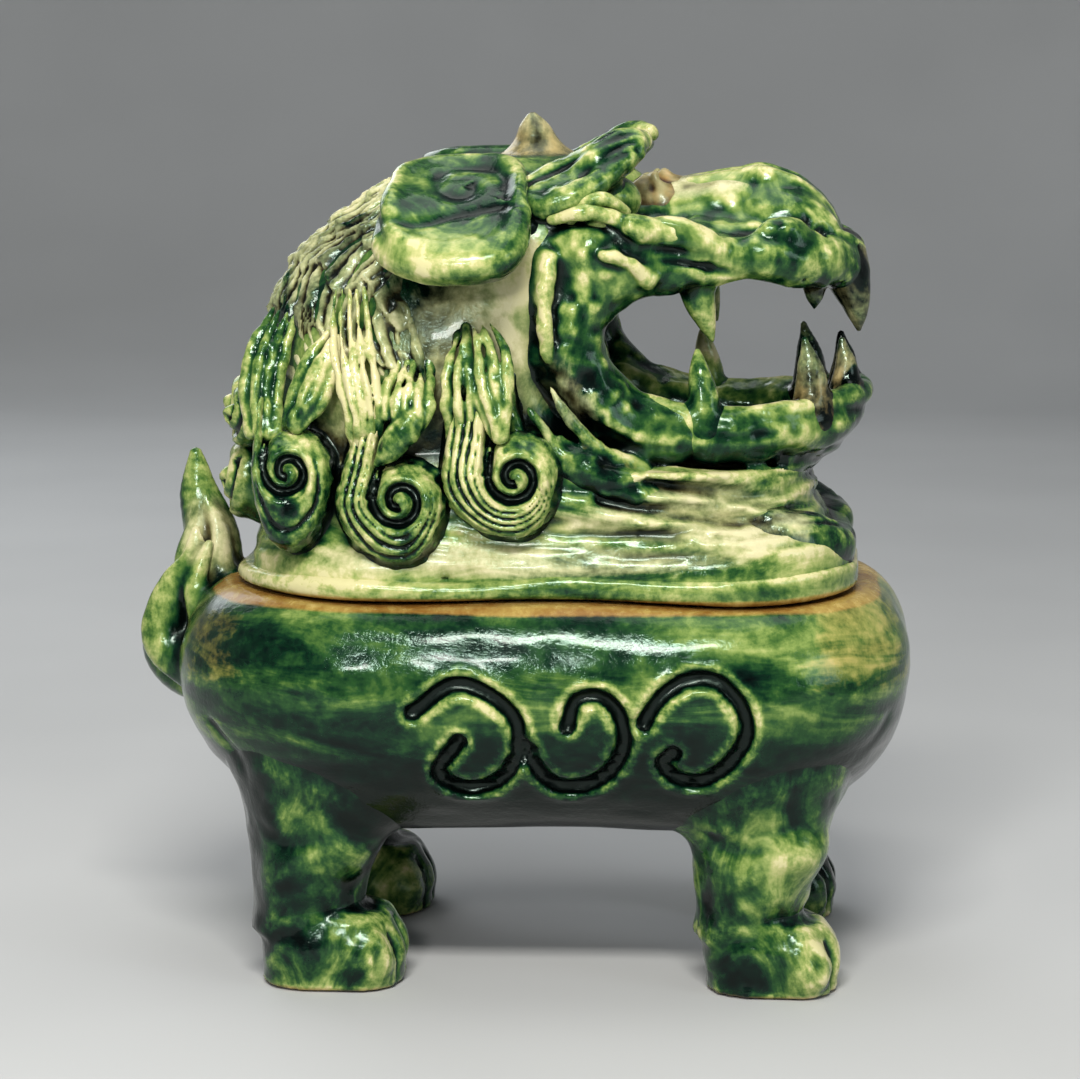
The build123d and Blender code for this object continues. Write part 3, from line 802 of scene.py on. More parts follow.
def combed(x, y, z):
    """Height of the combed hair: tiers of jagged tufts, each scored along its length."""
    angle, down = hair_frame(x, y, z)
    y = np.abs(y)
    strand = (angle + 0.07 * np.sin(down / 8.0) + 0.05 * noise(x, y, z, 12, 32)) * STRANDS_ROUND
    jag = 2.4 * np.abs(((strand / 6.0) % 2) - 1) + 1.6 * noise(x, y, z, 7, 33)
    total = -0.5
    for edge, drop in TIERS:
        ahead = edge - down + jag * 1.5
        total = total + np.where(ahead > 0, drop * np.exp(-np.maximum(ahead, 0) / 9), 0)
    score = np.abs(np.sin(strand * 0.5 + 0.6 * noise(x, y, z, 6, 31))) ** 0.8
    fine = np.abs(np.sin(strand * 1.1 + 1.2 * noise(x, y, z, 7, 34)))
    return total + 1.5 * (score - 0.6) + 1.1 * (fine - 0.6) + 0.4 * noise(x, y, z, 1.9, 35)


def make_mane(skull, name):
    back = name == "back_mane"
    low, high = box(name)
    mane = block((low[0] - 7, 0 if back else low[1] - 7, low[2] - 7), high + 7, 0.55)
    x, y, z = mane.grid()
    host = skull.on((x, y, z))
    strand = hair_frame(x, y, z)[0] * STRANDS_ROUND
    jag = 3.4 * np.abs(((strand / 6.0) % 2) - 1) + 2.4 * noise(x, np.abs(y), z, 5, 36)
    hem = (low[2] + 0.5 + jag) - z
    front = (x - middle_x) + 26.5 + 0.22 * (z - 150) + 1.8 * noise(x, np.abs(y), z, 5, 37)
    mane.d = smax(smax(host - combed(x, y, z), hem, 1.6), front, 2.0)
    parting = np.abs(y) - 15.0 - 1.0 * np.sin(z / 6)
    for limit in (-(host + 3.0), z - 187.5, (parting if back else -parting) - 0.3):
        mane.d = np.maximum(mane.d, limit).astype(np.float32)
    return mirrored(mane) if back else mane


def add_sheaf(clay, path, count, spread, radius):
    """Strands laid side by side along a path; each row is a place and how far the sheaf fans there."""
    rows = np.array(path, float)
    across = np.cross(np.gradient(rows[:, :3], axis=0), (0, 1, 0.1))
    across = across / np.linalg.norm(across, axis=1, keepdims=True)
    for k in range(count):
        share = 2 * k / (count - 1) - 1
        points = rows[:, :3] + across * (share * spread * rows[:, 3])[:, None]
        points[:, 1] += 1.2 * (0.618 * k % 1 - 0.5) - 1.0 * share * share
        taper = np.clip(np.linspace(0.25, 2.4, len(rows)), 0, 1) * (1 - 0.2 * (k % 2))
        clay.roll(points, radius * taper, 0.3)


# The sheaves of each lock: path, number of strands, spread and strand radius.
LOCKS = {
    "rear": (
        (((-58, 30, 152, 0.7), (-61, 34, 143, 1.0), (-62, 37.5, 134, 1.0), (-61, 41, 126, 0.8)), 4, 3.6, 1.7),
        (((-45, 40, 148, 0.6), (-48, 42, 141, 1.0), (-51, 43.5, 134, 1.0), (-54, 44, 128, 0.4)), 4, 3.0, 1.7),
    ),
    "middle": (
        (((-42, 38, 158, 0.8), (-41.5, 41.5, 149, 1.0), (-40, 45, 140, 1.0), (-38, 47.2, 131, 0.85),
          (-38, 44.5, 123, 0.7)), 5, 4.0, 1.1),
        (((-27.5, 41, 142, 0.7), (-28, 44.5, 138, 1.0), (-28.5, 47, 134, 1.1), (-28.5, 48, 131, 1.0)), 5, 4.4,
         1.3),
    ),
    "front": (
        (((-13.5, 41.5, 151, 0.6), (-11.5, 45, 145, 1.0), (-10.5, 47.5, 138.5, 1.0), (-9.0, 49, 133, 0.55),
          (-7.7, 49.5, 127, 0.1)), 4, 4.2, 1.8),
        (((-15.5, 42, 148, 0.6), (-16, 45.5, 142, 1.0), (-15.8, 47.4, 136, 1.1), (-15.5, 47.0, 130, 1.1),
          (-15.5, 44, 124, 1.0)), 4, 3.6, 1.25),
    ),
}
# The leaf that hangs in front of the middle lock: its midline.
LEAF = (-24.5, 44.5, 134), (-27.5, 47.5, 129.5), (-31, 48.5, 125), (-35, 48.0, 120.5)
# Each coil: where its eye is, how far it reaches behind, below, before and above it, the spiral's first
# radius and turns, how many strands wrap round it, and how high and how slanted its sheaf stands.
CURLS = {
    "rear": ((-55, 43, 118.5), (8.5, 18.5, 9.5, 8.5), 5.2, 1.25, 2, 15, 0.0),
    "middle": ((-30, 45.5, 112.5), (14.5, 14.5, 9.5, 8), 5.8, 1.3, 4, 23, 0.16),
    "front": ((-4.5, 46, 118), (16.5, 14, 9, 9.5), 5.8, 1.3, 5, 17, 0.04),
}
CORE = 0.9  # radius where a coil's spiral ends


def make_lock(name, hosts):
    points = np.array([p[:3] for path, *_ in LOCKS[name] for p in path])
    lock = block(points.min(0) - 11, points.max(0) + 11, 0.5)
    for sheaf in LOCKS[name]:
        add_sheaf(lock, *sheaf)
    if name == "middle":
        lock.roll(LEAF, (1.6, 3.3, 3.2, 0.9), 0.6)
    x, y, z = lock.grid()
    lock.d = lock.d + 0.35 * noise(x, y, z * 0.45, 1.7, 40)
    return luted(lumps(lock, (0.35, 3, 41)), hosts, 2.2, 3.0)


def make_curl(name, hosts):
    """A lock's end: a sheaf that comes down behind the coil, runs round below it, and winds up in a roll."""
    eye, (behind, below, before, above), first, turns, strands, tall, lean = CURLS[name]
    room_before = (before + 6, 14, max(above, tall) + 6)
    curl = block(np.array(eye) - (behind + 6, 15, below + 6), np.array(eye) + room_before, 0.5)
    x, y, z = curl.grid()
    eye = at(*eye)
    a, b = x - eye[0], z - eye[2]
    r = np.hypot(a, b) + 1e-6
    wound = (np.arctan2(b, a) - np.pi) % (2 * np.pi)
    lift = np.clip(b, 0, None)
    rising = (a < 0) & (b > 0)
    across = np.where(a < 0, np.where(rising, first + 2.2, behind), before)
    rim = 1 / np.sqrt((a / r / across) ** 2 + (b / r / np.where(b < 0, below, above)) ** 2)

    # In the sheaf, the place across it is counted level from the eye's upright; in the coil, from the eye.
    back = -a + lean * b
    sheaf_rim = behind - 0.08 * lift
    in_sheaf = rising & (back > first)
    place = np.where(in_sheaf, back, r)
    outer = np.where(in_sheaf, sheaf_rim, rim)
    groove = first + np.where(in_sheaf, 0.3, -(first - CORE) / (2 * np.pi * turns) * wound)
    gap = np.where(rising, np.abs(back - first - 0.3), FAR)
    gap = np.minimum(spiral_gap(a, b, first, CORE, turns, np.pi), gap)

    # Ribs run along the sheaf and on round the coil, where they fade out.
    past_groove = place - groove - 0.8
    band = np.clip(past_groove / np.maximum(outer - groove - 0.8, 1), 0, 1)
    fade = np.where(in_sheaf, 1, 1 - ramp(wound, 2.4, 4.0)) * ramp(past_groove, 0, 1.2)
    wander = 0.45 * noise(x, y[:, :1], z, 7, 47)
    ribs = np.abs(np.sin(np.pi * (strands * band + wander))) ** 0.7
    share = place / outer
    front = (6.2 - 0.07 * lift) * np.sqrt(np.clip(1.08 - share ** 3, 0.02, None))
    front = front - 3.0 * np.exp(-np.abs(gap / 1.25) ** 2.4) + 0.5 * bump(gap, 2.3, 0.8)
    front = front - (1.3 + 0.5 * wander) * fade * (1 - ribs) * np.clip((1 - share) * 8, 0, 1)

    ragged = tall + 3.0 * noise(x, y[:, :1], z, 2.5, 48)
    outline = np.maximum.reduce([back - sheaf_rim, first + 1.0 - back, -b - 1.5 + 0 * a, b - ragged])
    outline = np.minimum((r - rim) * 0.8, outline)
    depth = y - eye[1] + 0.2 * lift
    curl.d = smax(outline, np.maximum(depth - front, -7 - depth), 2.0).astype(np.float32)
    return luted(lumps(curl, (0.3, 4.5, 42), (0.3, 1.8, 45)), hosts, 2.5, 3.5)


# Coils along the back of the neck: centre, radius and half height.
NAPE_COILS = {
    "lower_nape_curls": (((-69.5, 11, 111.8), 9.4, 9.2),),
    "upper_nape_curls": (((-70.5, 0, 128), 6.6, 7.0), ((-67.5, 18, 127.5), 7.0, 7.4)),
}


def make_nape(row, hosts):
    coils = []
    for centre, radius, tall in NAPE_COILS[row]:
        coil = block(np.array(centre) - tall - 6, np.array(centre) + tall + 6, 0.55)
        coil.add(cake(centre, (-1, 0.012 * centre[1], 0.1), radius, tall, 5.2), 0)
        coils.append(luted(lumps(coil, (0.3, 4.5, 43)), hosts, 2.5, 3.5))
        if centre[1]:
            coils.append(reflected(coils[-1]))
    return united(coils)


def make_beard(hosts):
    """The tuft on the chest: an oval leaf scored along its length."""
    beard = block((36, 4, 88), (80, 48, 120), 0.55)
    long_axis, out = unit((0.80, -0.56, -0.2)), unit((0.57, 0.82, 0))
    beard.add(ball((58.5, 28, 102.2), (13.5, 6.0, 5.6), [long_axis, out, np.cross(long_axis, out)]), 1)
    beard.swell((65.8, 16.5, 99.6), (4.4, 6.5, 4.6), 3)
    for lift in (-2.6, -0.2, 2.2, 4.6):
        path = (48, 38.5, 104 + lift), (57, 35.5, 102.2 + lift), (65, 27, 100.4 + lift), (72, 15, 99 + lift)
        beard.score(path, (0.5, 0.8, 0.8, 0.5), 0.9)
    return luted(lumps(beard, (0.2, 2, 46), (0.35, 4, 44)), hosts, 2.5, 4)


# --- Building every piece ---------------------------------------------------------------------------

def build_all():
    """All the blocks of clay by piece name: the middle and left pieces, which serve the right side too."""
    bowl, flange = make_bowl(), make_flange()
    neck = make_neck(flange)
    skull = make_skull(neck)
    muzzle = make_muzzle(skull)
    jaw = make_jaw(skull, neck)
    legs = {end: make_leg(end, bowl) for end in ("front", "rear")}
    clays = {"bowl": bowl, "front_left_leg": legs["front"], "rear_left_leg": legs["rear"],
             "lid_flange": flange, "neck": neck, "skull": skull, "upper_muzzle": muzzle, "lower_jaw": jaw,
             "left_cheek": make_cheek([skull, neck, muzzle, jaw])}
    jobs = {
        "front_left_paw": (make_paw, "front", legs["front"]),
        "rear_left_paw": (make_paw, "rear", legs["rear"]),
        "tail_flame": (make_tail_flame, bowl),
        "tail_left_leaf": (make_tail_leaf, bowl),
        "tail_curl": (make_tail_curl, bowl),
        "nose": (make_nose, [muzzle]),
        "frown_bump": (make_frown, [skull, muzzle]),
        "upper_left_fang": (tooth, *UPPER_FANG, [muzzle]),
        "lower_left_fang": (tooth, *LOWER_FANG, [jaw]),
        "upper_front_teeth": (front_teeth, UPPER_FRONT, [muzzle]),
        "lower_front_teeth": (front_teeth, LOWER_FRONT, [jaw]),
        "horn": (make_horn, skull),
        "left_ear": (make_ear, skull),
        "left_brow": (make_brow, skull),
        "left_eye": (make_eye, skull),
        "left_mane": (make_mane, skull, "left_mane"),
        "back_mane": (make_mane, skull, "back_mane"),
        "lower_nape_curls": (make_nape, "lower_nape_curls", [neck, skull]),
        "upper_nape_curls": (make_nape, "upper_nape_curls", [neck, skull]),
        "left_beard": (make_beard, [neck, flange]),
    }
    for name in LOCKS:
        jobs[f"{name}_left_lock"] = (make_lock, name, [skull, neck])
        jobs[f"{name}_left_curl"] = (make_curl, name, [skull, neck])
    with ThreadPoolExecutor(THREADS) as pool:
        waiting = {name: pool.submit(*job) for name, job in jobs.items()}
        return clays | {name: result.result() for name, result in waiting.items()}


def surface(clay):
    """The closed quad mesh where the distance is zero: points in millimetres and corner indices."""
    grid = vdb.FloatGrid(background=3.0)
    grid.copyFromArray(np.ascontiguousarray(clay.d, np.float32), tolerance=0)
    points, quads = without_crumbs(*grid.convertToQuads(isovalue=0.0))
    places = (points + clay.first) * clay.step
    a, b, c = (places[quads[:, i]] for i in (0, 1, 2))
    outward = (a * np.cross(b, c)).sum() >= 0
    return places, quads if outward else quads[:, ::-1]


def without_crumbs(points, quads, share=0.02):
    """Drops crumbs: separate bits of surface with under a small share of the corners."""
    quads = quads.astype(np.int64)
    label = np.arange(len(points))
    while True:
        updated = label.copy()
        np.minimum.at(updated, quads.reshape(-1), np.repeat(label[quads].min(1), 4))
        updated = updated[updated]
        if (updated == label).all():
            break
        label = updated
    names, counts = np.unique(label, return_counts=True)
    kept = np.isin(label, names[counts >= share * len(points)])
    index = np.cumsum(kept) - 1
    return points[kept], index[quads[kept[quads[:, 0]]]]


# --- What the glaze needs to know at each point -----------------------------------------------------

SURVEY_STEP = 1.3
survey = Clay([c * MM - 16 for c in cad_bounds[0]], [c * MM + 16 for c in cad_bounds[1]], SURVEY_STEP)


def crowding(clays):
    """How much clay there is near each place: blurred closely and widely."""
    filled = np.zeros(survey.d.shape, np.float32)
    for name, clay in clays.items():
        for one in (clay, reflected(clay)) if "left" in name else (clay,):
            low = one.first * one.step
            high = (one.first + np.array(one.d.shape) - 1) * one.step
            window = survey.window(low + SURVEY_STEP, high - SURVEY_STEP)
            d = one.on(survey.grid(window))
            filled[window] = np.maximum(filled[window], np.clip(0.5 - d / SURVEY_STEP, 0, 1))
    return blurred(filled, 1.5), blurred(filled, 4.0)


def soft_region(points, centre, radii, edge):
    """1 inside an ellipsoid, falling to 0 outside; the same on both sides."""
    x, y, z = points.T
    q = np.sqrt((((np.column_stack([x, np.abs(y), z]) - at(*centre)) / radii) ** 2).sum(1))
    return np.clip((1 + edge - q) / (2 * edge), 0, 1)


# How each kind of piece differs from the plain glaze: how bare, ochre and deep it is.
KINDS = {
    "_ear": (0, 0, -0.06), "muzzle": (0, 0, -0.11), "nose": (0, 0, -0.11), "jaw": (0, 0, -0.15),
    "beard": (0, 0, -0.08), "flange": (0, 0, -0.22), "neck": (0, 0, -0.17), "cheek": (0, 0, -0.09),
    "curl": (0, 0, -0.04), "lock": (0.2, 0, 0.02), "mane": (0.42, 0.08, 0.08), "fang": (0, 0, -0.13),
    "eye": (0, 0, -0.08), "skull": (0, 0, -0.08), "paw": (0, 0, -0.02), "leg": (0, 0, 0.04),
    # front_teeth: bare ochre clay, made darker by painted shade of the mouth.
    "bowl": (0, 0, -0.07), "frown": (0.6, 0.42, 0.35), "horn": (0.6, 0.42, 0), "front_teeth": (0.4, 0.3, 0.3),
}
SKIN = "neck", "skull", "beard", "flange", "cheek"
# Soft regions of the glaze: pieces, layer, amount, centre, radii and how soft the edge is.
REGIONS = (
    (SKIN, "bare", 0.50, (34, 38, 108), (42, 22, 11), 0.5),
    (SKIN, "bare", 0.62, (-12, 40, 146), (22, 18, 34), 0.7),
    (SKIN, "bare", 0.55, (-40, 42, 120), (34, 20, 16), 0.7),
    (SKIN, "bare", 0.55, (0, 46, 99), (60, 12, 5), 0.5),
    (SKIN, "ochre", 0.22, (22, 42, 112), (24, 16, 14), 0.8),
    (SKIN, "deep", -0.18, (2, 40, 160), (12, 14, 16), 0.8),
    (("skull",), "deep", -0.50, (-4, 40, 154), (12, 16, 22), 0.7),
    # Painted shadow of the ear on the skull below it.
    (("skull",), "deep", 0.16, (-22, 42, 152), (14, 14, 12), 0.6),
    (("cheek",), "bare", 0.50, (5, 40, 134), (12, 14, 15), 0.7),
    (("cheek",), "ochre", 0.22, (5, 40, 130), (14, 14, 16), 0.7),
    (("cheek",), "deep", 0.10, (16, 36, 142), (10, 16, 14), 0.5),
    (("muzzle",), "bare", 0.75, (34, 4, 182), (18, 11, 6), 0.5),
    (("jaw",), "deep", -0.20, (48, 28, 126), (34, 14, 8), 0.5),
    (("lock",), "deep", 0.22, (-30, 46, 125), (8, 8, 8), 0.3),
    (("bowl",), "bare", 0.25, (-66, 30, 78), (26, 40, 13), 0.5),
    (("tail",), "bare", 0.55, (-79, 4, 96), (8, 9, 12), 0.5),
)


def paint(name, points, normals):
    """Where the glaze is thin (bare), ochre and deep, from what the piece is and where; deep also holds
    painted shade on faces turned down, under the ear, in the mouth and on the front teeth.
    """
    base = np.sum([row for part, row in KINDS.items() if part in name] or [(0, 0, 0)], 0)
    bare, ochre, deep = (np.full(len(points), amount, float) for amount in base)
    for parts, layer, amount, centre, radii, edge in REGIONS:
        if any(part in name for part in parts):
            value = amount * soft_region(points, centre, radii, edge)
            if layer == "bare":
                thinner = 0.6 if parts is SKIN and name in ("lid_flange", "left_cheek") else 1
                bare = np.maximum(bare, thinner * value)
            else:
                total = ochre if layer == "ochre" else deep
                total += value
    x, y, z = points[:, 0] - middle_x, np.abs(points[:, 1]), points[:, 2]
    facing_down = -normals[:, 2]
    # Painted shade: faces turned down are darker.
    deep += 0.14 * np.clip(facing_down, 0, 1)
    if name == "left_ear":
        # Painted shade on the ear's underside.
        deep += 0.16 * np.clip(facing_down + 0.15, 0, 1)
    if name == "upper_muzzle":
        # Painted shade below the upper lip's edge, under its overhang and in the mouth.
        deep += 0.30 * ramp(z, 160.5, 157.5)
    if name == "lower_jaw":
        # Painted shade inside the mouth, on the lower jaw's inner floor.
        deep += 0.30 * ramp(z, 130, 126) * ((y < 25) & (x < 55))
    if "lock" in name:
        deep -= 0.06 * ramp(z, 132, 138)
    if "leg" in name:
        # Darker towards the top of the leg.
        deep += 0.32 * ramp(z, 34, 50)
    if "leg" in name or "paw" in name:
        ochre += 0.5 * ramp(z, 2, 0)
    if name == "bowl":
        # Darker towards the bottom.
        deep += 0.42 * ramp(z, 80, 40)
        ochre += 0.36 * ramp(np.abs(x + 2), 52, 66) * ramp(z, 62, 72)
        ochre += 0.9 * ramp(z, seam_z - 2.4, seam_z - 0.8)
        outward = normals[:, 0] * x / 70 + normals[:, 1] * points[:, 1] / 45
        bare = np.where((outward < -0.05) & (z > 40), 0.8, bare)
    if name == "lid_flange":
        ochre += 0.85 * ramp(z, seam_z + 2.0, seam_z + 0.2)
    return {"bare": bare, "ochre": ochre, "deep": deep}


def quad_normals(points, quads):
    a, b, c, d = (points[quads[:, i]] for i in range(4))
    across = np.cross(c - a, d - b)
    total = np.zeros_like(points)
    for i in range(4):
        np.add.at(total, quads[:, i], across)
    return total / np.maximum(np.linalg.norm(total, axis=1, keepdims=True), 1e-9)


def survey_piece(name, clay, near, wide):
    """A piece's mesh with what its glaze will need to know at each point."""
    points, quads = surface(clay)
    sharp = gather(blurred(clay.d, max(1.0, 0.8 / clay.step)) - clay.d, points / clay.step - clay.first)
    places = points / SURVEY_STEP - survey.first
    close, broad = gather(near, places) - 0.5, gather(wide, places) - 0.5
    layers = paint(name, points, quad_normals(points, quads))
    layers["edge"] = np.clip(sharp * 3.2 / max(clay.step, 0.5) - close * 0.7, 0, 1)
    # Darker in hollows and where clay crowds close, between pieces too: glaze pooling there, and painted
    # shade.
    layers["pooling_and_shade"] = np.clip(close * 2.0 + broad * 1.2 - sharp * 3.2, 0, 1)
    return points, quads, layers


def link_object(name, data, place=(0, 0, 0)):
    thing = bpy.data.objects.new(name, data)
    thing.location = place
    bpy.context.scene.collection.objects.link(thing)
    return thing


def add_piece(name, points, quads, layers, material):
    mesh = bpy.data.meshes.new(name)
    mesh.vertices.add(len(points))
    mesh.vertices.foreach_set("co", (points / MM).astype(np.float32).ravel())
    mesh.loops.add(quads.size)
    mesh.loops.foreach_set("vertex_index", quads.astype(np.int32).ravel())
    mesh.polygons.add(len(quads))
    mesh.polygons.foreach_set("loop_start", np.arange(0, quads.size, 4, dtype=np.int32))
    mesh.update(calc_edges=True)
    mesh.validate()
    mesh.polygons.foreach_set("use_smooth", np.ones(len(mesh.polygons), bool))
    for key, values in layers.items():
        layer = mesh.attributes.new(key, "FLOAT", "POINT")
        layer.data.foreach_set("value", np.ascontiguousarray(values, np.float32))
    mesh.materials.append(material)
    return link_object(name, mesh)


# --- Glaze ------------------------------------------------------------------------------------------

class Nodes:
    """Short names for wiring a material's node tree."""

    def __init__(self, name):
        self.material = bpy.data.materials.new(name)
        self.material.use_nodes = True
        self.tree = self.material.node_tree
        self.shader = self.tree.nodes["Principled BSDF"]
        self.place = self.new("ShaderNodeTexCoord").outputs["Object"]

    def link(self, value, socket):
        if isinstance(value, bpy.types.NodeSocket):
            self.tree.links.new(value, socket)
        else:
            socket.default_value = value

    def new(self, kind, **settings):
        node = self.tree.nodes.new(kind)
        for key, value in settings.items():
            setattr(node, key, value)
        return node

    def math(self, operation, a, b, clamp=False):
        node = self.new("ShaderNodeMath", operation=operation, use_clamp=clamp)
        self.link(a, node.inputs[0])
        self.link(b, node.inputs[1])
        return node.outputs[0]

    def layer(self, name):
        return self.new("ShaderNodeAttribute", attribute_name=name).outputs["Fac"]

    def noise(self, scale, detail, rough=0.55, stretch=(1, 1, 1), warp=0.0):
        mapping = self.new("ShaderNodeMapping")
        mapping.inputs["Scale"].default_value = stretch
        self.link(self.place, mapping.inputs["Vector"])
        node = self.new("ShaderNodeTexNoise")
        self.link(mapping.outputs[0], node.inputs["Vector"])
        node.inputs["Scale"].default_value = scale
        node.inputs["Detail"].default_value = detail
        node.inputs["Roughness"].default_value = rough
        node.inputs["Distortion"].default_value = warp
        return node.outputs["Fac"]

    def ramp(self, value, stops):
        node = self.new("ShaderNodeValToRGB")
        elements = node.color_ramp.elements
        while len(elements) < len(stops):
            elements.new(0.5)
        for element, (position, colour) in zip(elements, stops):
            element.position = position
            element.color = (*colour, 1)
        self.link(value, node.inputs[0])
        return node.outputs[0]

    def mix(self, share, a, b):
        node = self.new("ShaderNodeMix", data_type="RGBA")
        for value, socket in zip((share, a, b), (0, 6, 7)):
            self.link(value, node.inputs[socket])
        return node.outputs[2]

    def total(self, *terms):
        """Adds (value, weight) terms."""
        sum_so_far = 0.0
        for value, weight in terms:
            sum_so_far = self.math("ADD", self.math("MULTIPLY", value, weight), sum_so_far)
        return sum_so_far

    def above(self, value, threshold, slope):
        """0 up to a threshold, then rising to 1."""
        return self.math("MULTIPLY", self.math("ADD", value, -threshold), slope, clamp=True)

    def finish(self, colour, rough, height, strength, distance):
        """Wires the surface's colour, roughness and fine relief to the shader."""
        self.link(colour, self.shader.inputs["Base Color"])
        self.link(rough, self.shader.inputs["Roughness"])
        bump_node = self.new("ShaderNodeBump")
        bump_node.inputs["Strength"].default_value = strength
        bump_node.inputs["Distance"].default_value = distance
        self.link(height, bump_node.inputs["Height"])
        self.link(bump_node.outputs[0], self.shader.inputs["Normal"])
        return self.material


def tint(red, green, blue):
    """A display colour (0 to 255) as the linear values that a shader takes."""
    return tuple((value / 255) ** 2.2 for value in (red, green, blue))


GLAZE = ((0.00, tint(3, 10, 10)), (0.15, tint(8, 25, 21)), (0.30, tint(18, 46, 30)), (0.44, tint(40, 74, 39)),
         (0.57, tint(76, 106, 52)), (0.70, tint(120, 142, 76)), (0.84, tint(160, 170, 104)),
         (0.95, tint(190, 188, 130)), (1.00, tint(206, 200, 150)))
CLAY = ((0.08, tint(30, 24, 12)), (0.32, tint(78, 70, 42)), (0.52, tint(124, 122, 84)),
        (0.74, tint(166, 163, 118)), (0.95, tint(206, 200, 160)))
RUST = ((0.20, tint(74, 40, 16)), (0.50, tint(150, 104, 48)), (0.85, tint(204, 170, 100)))
BARE_CLAY = ((0.2, (0.10, 0.06, 0.03)), (0.55, (0.26, 0.18, 0.10)), (0.9, (0.45, 0.34, 0.21)))


def glaze_material(name, clay=0.0, streak=(1, 1, 0.6), breaking=0.55, contrast=1.0):
    """Green glaze: near black where it pools and where painted shade darkens it, yellow-green and cream where
    it breaks thin over edges.
    """
    n = Nodes(name)
    edge, pooling_and_shade, bare, ochre, deep = (n.layer(k) for k in ("edge", "pooling_and_shade", "bare", "ochre", "deep"))
    clouds = n.noise(22, 3, 0.55, streak, 0.6)
    blots = n.noise(64, 4, 0.6, streak, 1.2)
    grit = n.noise(330, 4, 0.65)
    speckle = n.noise(1100, 3, 0.6)
    broken = n.math("MULTIPLY", edge, n.math("ADD", n.math("MULTIPLY", grit, 1.6), -0.15))
    mottling = n.total((clouds, 1.8 * contrast), (blots, 1.4 * contrast), (grit, 0.4 * contrast))
    # Hollows and the deep layer darken the glaze, the bare clay and the ochre: pooled glaze, and painted
    # shade.
    tone = n.total((mottling, 1.0), (broken, breaking), (pooling_and_shade, -0.7), (deep, -1.0))
    glaze = n.ramp(n.math("ADD", tone, 0.34 - 1.8 * contrast, clamp=True), GLAZE)
    body = n.ramp(n.total((grit, 0.55), (blots, 0.75), (edge, 0.28), (pooling_and_shade, -0.9), (deep, -0.5)), CLAY)
    warm = n.ramp(n.total((grit, 0.5), (blots, 0.6), (pooling_and_shade, -0.5), (deep, -0.5)), RUST)
    thin = n.above(n.total((bare, 1.45), (blots, 1.2), (clouds, 0.9), (grit, 0.35)), 1.72 - clay, 2.4)
    rusty = n.above(n.total((ochre, 1.2), (blots, 0.8), (grit, 0.3)), 0.95, 3.0)
    colour = n.mix(n.math("MULTIPLY", thin, 0.92), glaze, body)
    colour = n.mix(n.math("MULTIPLY", rusty, 0.75), colour, warm)
    rough = n.total((thin, 0.14), (grit, 0.16), (pooling_and_shade, 0.20), (rusty, 0.12))
    n.shader.inputs["IOR"].default_value = 1.46
    n.shader.inputs["Specular IOR Level"].default_value = 0.38
    n.shader.inputs["Specular Tint"].default_value = (0.55, 0.78, 0.68, 1)
    n.shader.inputs["Coat Weight"].default_value = 0.15
    n.shader.inputs["Coat Roughness"].default_value = 0.08
    height = n.total((grit, 0.5), (speckle, 0.2), (blots, 0.9))
    return n.finish(colour, n.math("ADD", rough, 0.06, clamp=True), height, 0.45, 0.0006)


def plain_clay_material(name):
    n = Nodes(name)
    grit = n.noise(700, 4, 0.65)
    colour = n.ramp(n.total((grit, 0.6), (n.noise(60, 3, 0.6), 0.5)), BARE_CLAY)
    return n.finish(colour, n.math("ADD", n.math("MULTIPLY", grit, 0.3), 0.5), grit, 0.5, 0.0004)


# --- Putting it together ----------------------------------------------------------------------------

clays = build_all()
near, wide = crowding(clays)
with ThreadPoolExecutor(THREADS) as pool:
    surveyed = pool.map(lambda name: survey_piece(name, clays[name], near, wide), clays)
    meshes = dict(zip(clays, surveyed))

glaze = glaze_material("green_glaze")
brushed_glaze = glaze_material("brushed_glaze", streak=(0.45, 0.45, 1.5))
combed_glaze = glaze_material("combed_glaze", clay=0.06, breaking=0.40)
mottled_glaze = glaze_material("mottled_glaze", contrast=1.4)


def glaze_of(name):
    if "mane" in name:
        return combed_glaze
    if "leg" in name or "paw" in name:
        return mottled_glaze
    return brushed_glaze if name in ("bowl", "lid_flange", "neck") else glaze


node_body = {node: body for body, nodes in frame["record"]["behaviour"]["bodies"].items() for node in nodes}
for name, (points, quads, layers) in meshes.items():
    for node in (name, name.replace("left", "right")) if "left" in name else (name,):
        if node != name:
            points, quads = points * (1, -1, 1), quads[:, ::-1]
        piece = add_piece(f"{node}_clay", points, quads, layers, glaze_of(name))
        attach(piece, node_body[node])
        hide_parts(node)

ring = frame["nodes"]["lid_locating_ring"]
ring.data.materials.clear()
ring.data.materials.append(plain_clay_material("bare_clay"))

# --- Floor, light and camera, in metres -------------------------------------------------------------


def studio_floor(flat=1.1, bend=0.5, height=1.3, sides=96):
    """A round pale floor that curves up into a wall all the way round."""
    turns = np.linspace(0, math.pi / 2, 13)[1:]
    profile = [(0.25 * k * flat, 0.0) for k in range(1, 5)]
    profile += [(flat + bend * math.sin(t), bend * (1 - math.cos(t))) for t in turns]
    profile.append((flat + bend, height))
    around = [(math.cos(2 * math.pi * k / sides), math.sin(2 * math.pi * k / sides)) for k in range(sides)]
    verts = [(0, 0, 0)] + [(r * c, r * s, z) for r, z in profile for c, s in around]
    faces = [(0, 1 + k, 1 + (k + 1) % sides) for k in range(sides)]
    for row in range(len(profile) - 1):
        a, b = 1 + row * sides, 1 + (row + 1) * sides
        faces += [(a + k, b + k, b + (k + 1) % sides, a + (k + 1) % sides) for k in range(sides)]
    mesh = bpy.data.meshes.new("studio_floor")
    mesh.from_pydata(verts, [], faces)
    mesh.polygons.foreach_set("use_smooth", np.ones(len(faces), bool))
    return link_object("studio_floor", mesh, (middle_x / MM, 0, -0.0004))


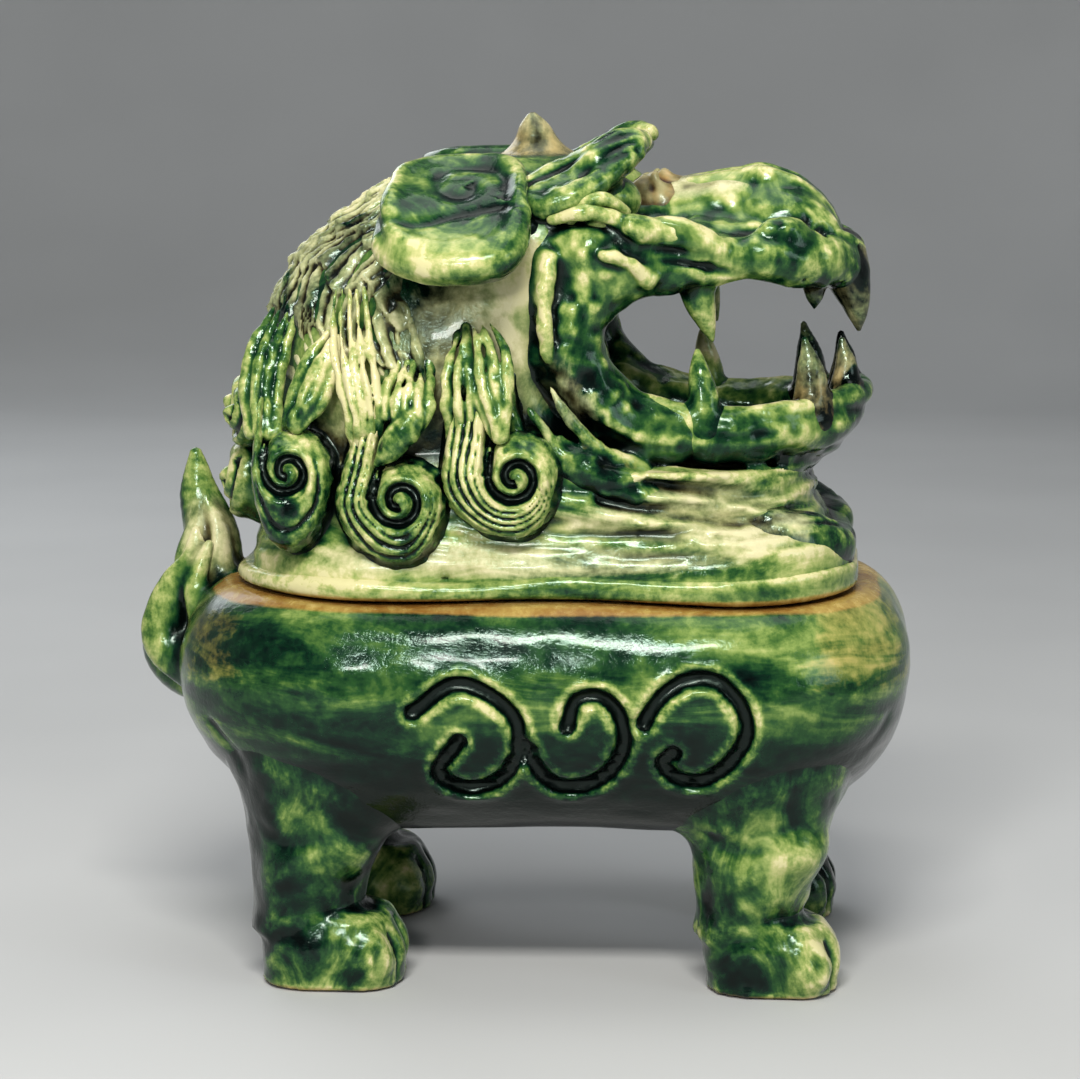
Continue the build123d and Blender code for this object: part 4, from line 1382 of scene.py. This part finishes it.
pale = Nodes("pale_floor")
pale.link(pale.ramp(pale.noise(6, 2), ((0.3, (0.47, 0.48, 0.49)), (0.7, (0.51, 0.52, 0.53)))),
          pale.shader.inputs["Base Color"])
pale.shader.inputs["Roughness"].default_value = 0.8
floor = studio_floor()
floor.data.materials.append(pale.material)

world = bpy.data.worlds.new("studio")
world.use_nodes = True
world.node_tree.nodes["Background"].inputs["Color"].default_value = (0.85, 0.93, 1.0, 1)
world.node_tree.nodes["Background"].inputs["Strength"].default_value = 0.17
bpy.context.scene.world = world

heart = (middle_x / MM, 0, 0.1)
for name, place, width, height, watts, colour in (
        ("key", (0.02, -0.66, 0.74), 0.36, 0.12, 8.4, (1, 0.97, 0.90)),
        ("lamp", (-0.12, -0.85, 0.42), 0.12, 0.08, 2.4, (1, 0.98, 0.94)),
        ("top", (0.05, 0.1, 1.05), 0.9, 0.7, 3.6, (1, 0.98, 0.94)),
        ("fill", (0.85, -0.45, 0.40), 0.3, 0.4, 1.2, (0.90, 0.96, 1)),
        ("back", (-0.5, 0.8, 0.6), 0.6, 0.5, 2.5, (0.95, 0.98, 1))):
    light = bpy.data.lights.new(name, "AREA")
    light.shape = "RECTANGLE"
    light.size, light.size_y = width, height
    light.energy = watts
    light.color = colour
    towards = Vector(heart) - Vector(place)
    link_object(name, light, place).rotation_euler = towards.to_track_quat("-Z", "Y").to_euler()

azimuth, elevation, distance = math.radians(4), math.radians(9), 0.8
view_width = 0.2522
sensor_width = 36
aim = Vector(((middle_x - 2.5) / MM, 0, 0.0965))
level_away = Vector((math.sin(azimuth), -math.cos(azimuth), 0))
away = level_away * math.cos(elevation) + Vector((0, 0, math.sin(elevation)))
lens = bpy.data.cameras.new("camera")
lens.sensor_width = sensor_width
lens.lens = sensor_width * distance / view_width
lens.clip_start = 0.01
camera = link_object("camera", lens, aim + away * distance)
camera.rotation_euler = (-away).to_track_quat("-Z", "Y").to_euler()
bpy.context.scene.camera = camera
bpy.context.scene.view_settings.view_transform = "Standard"
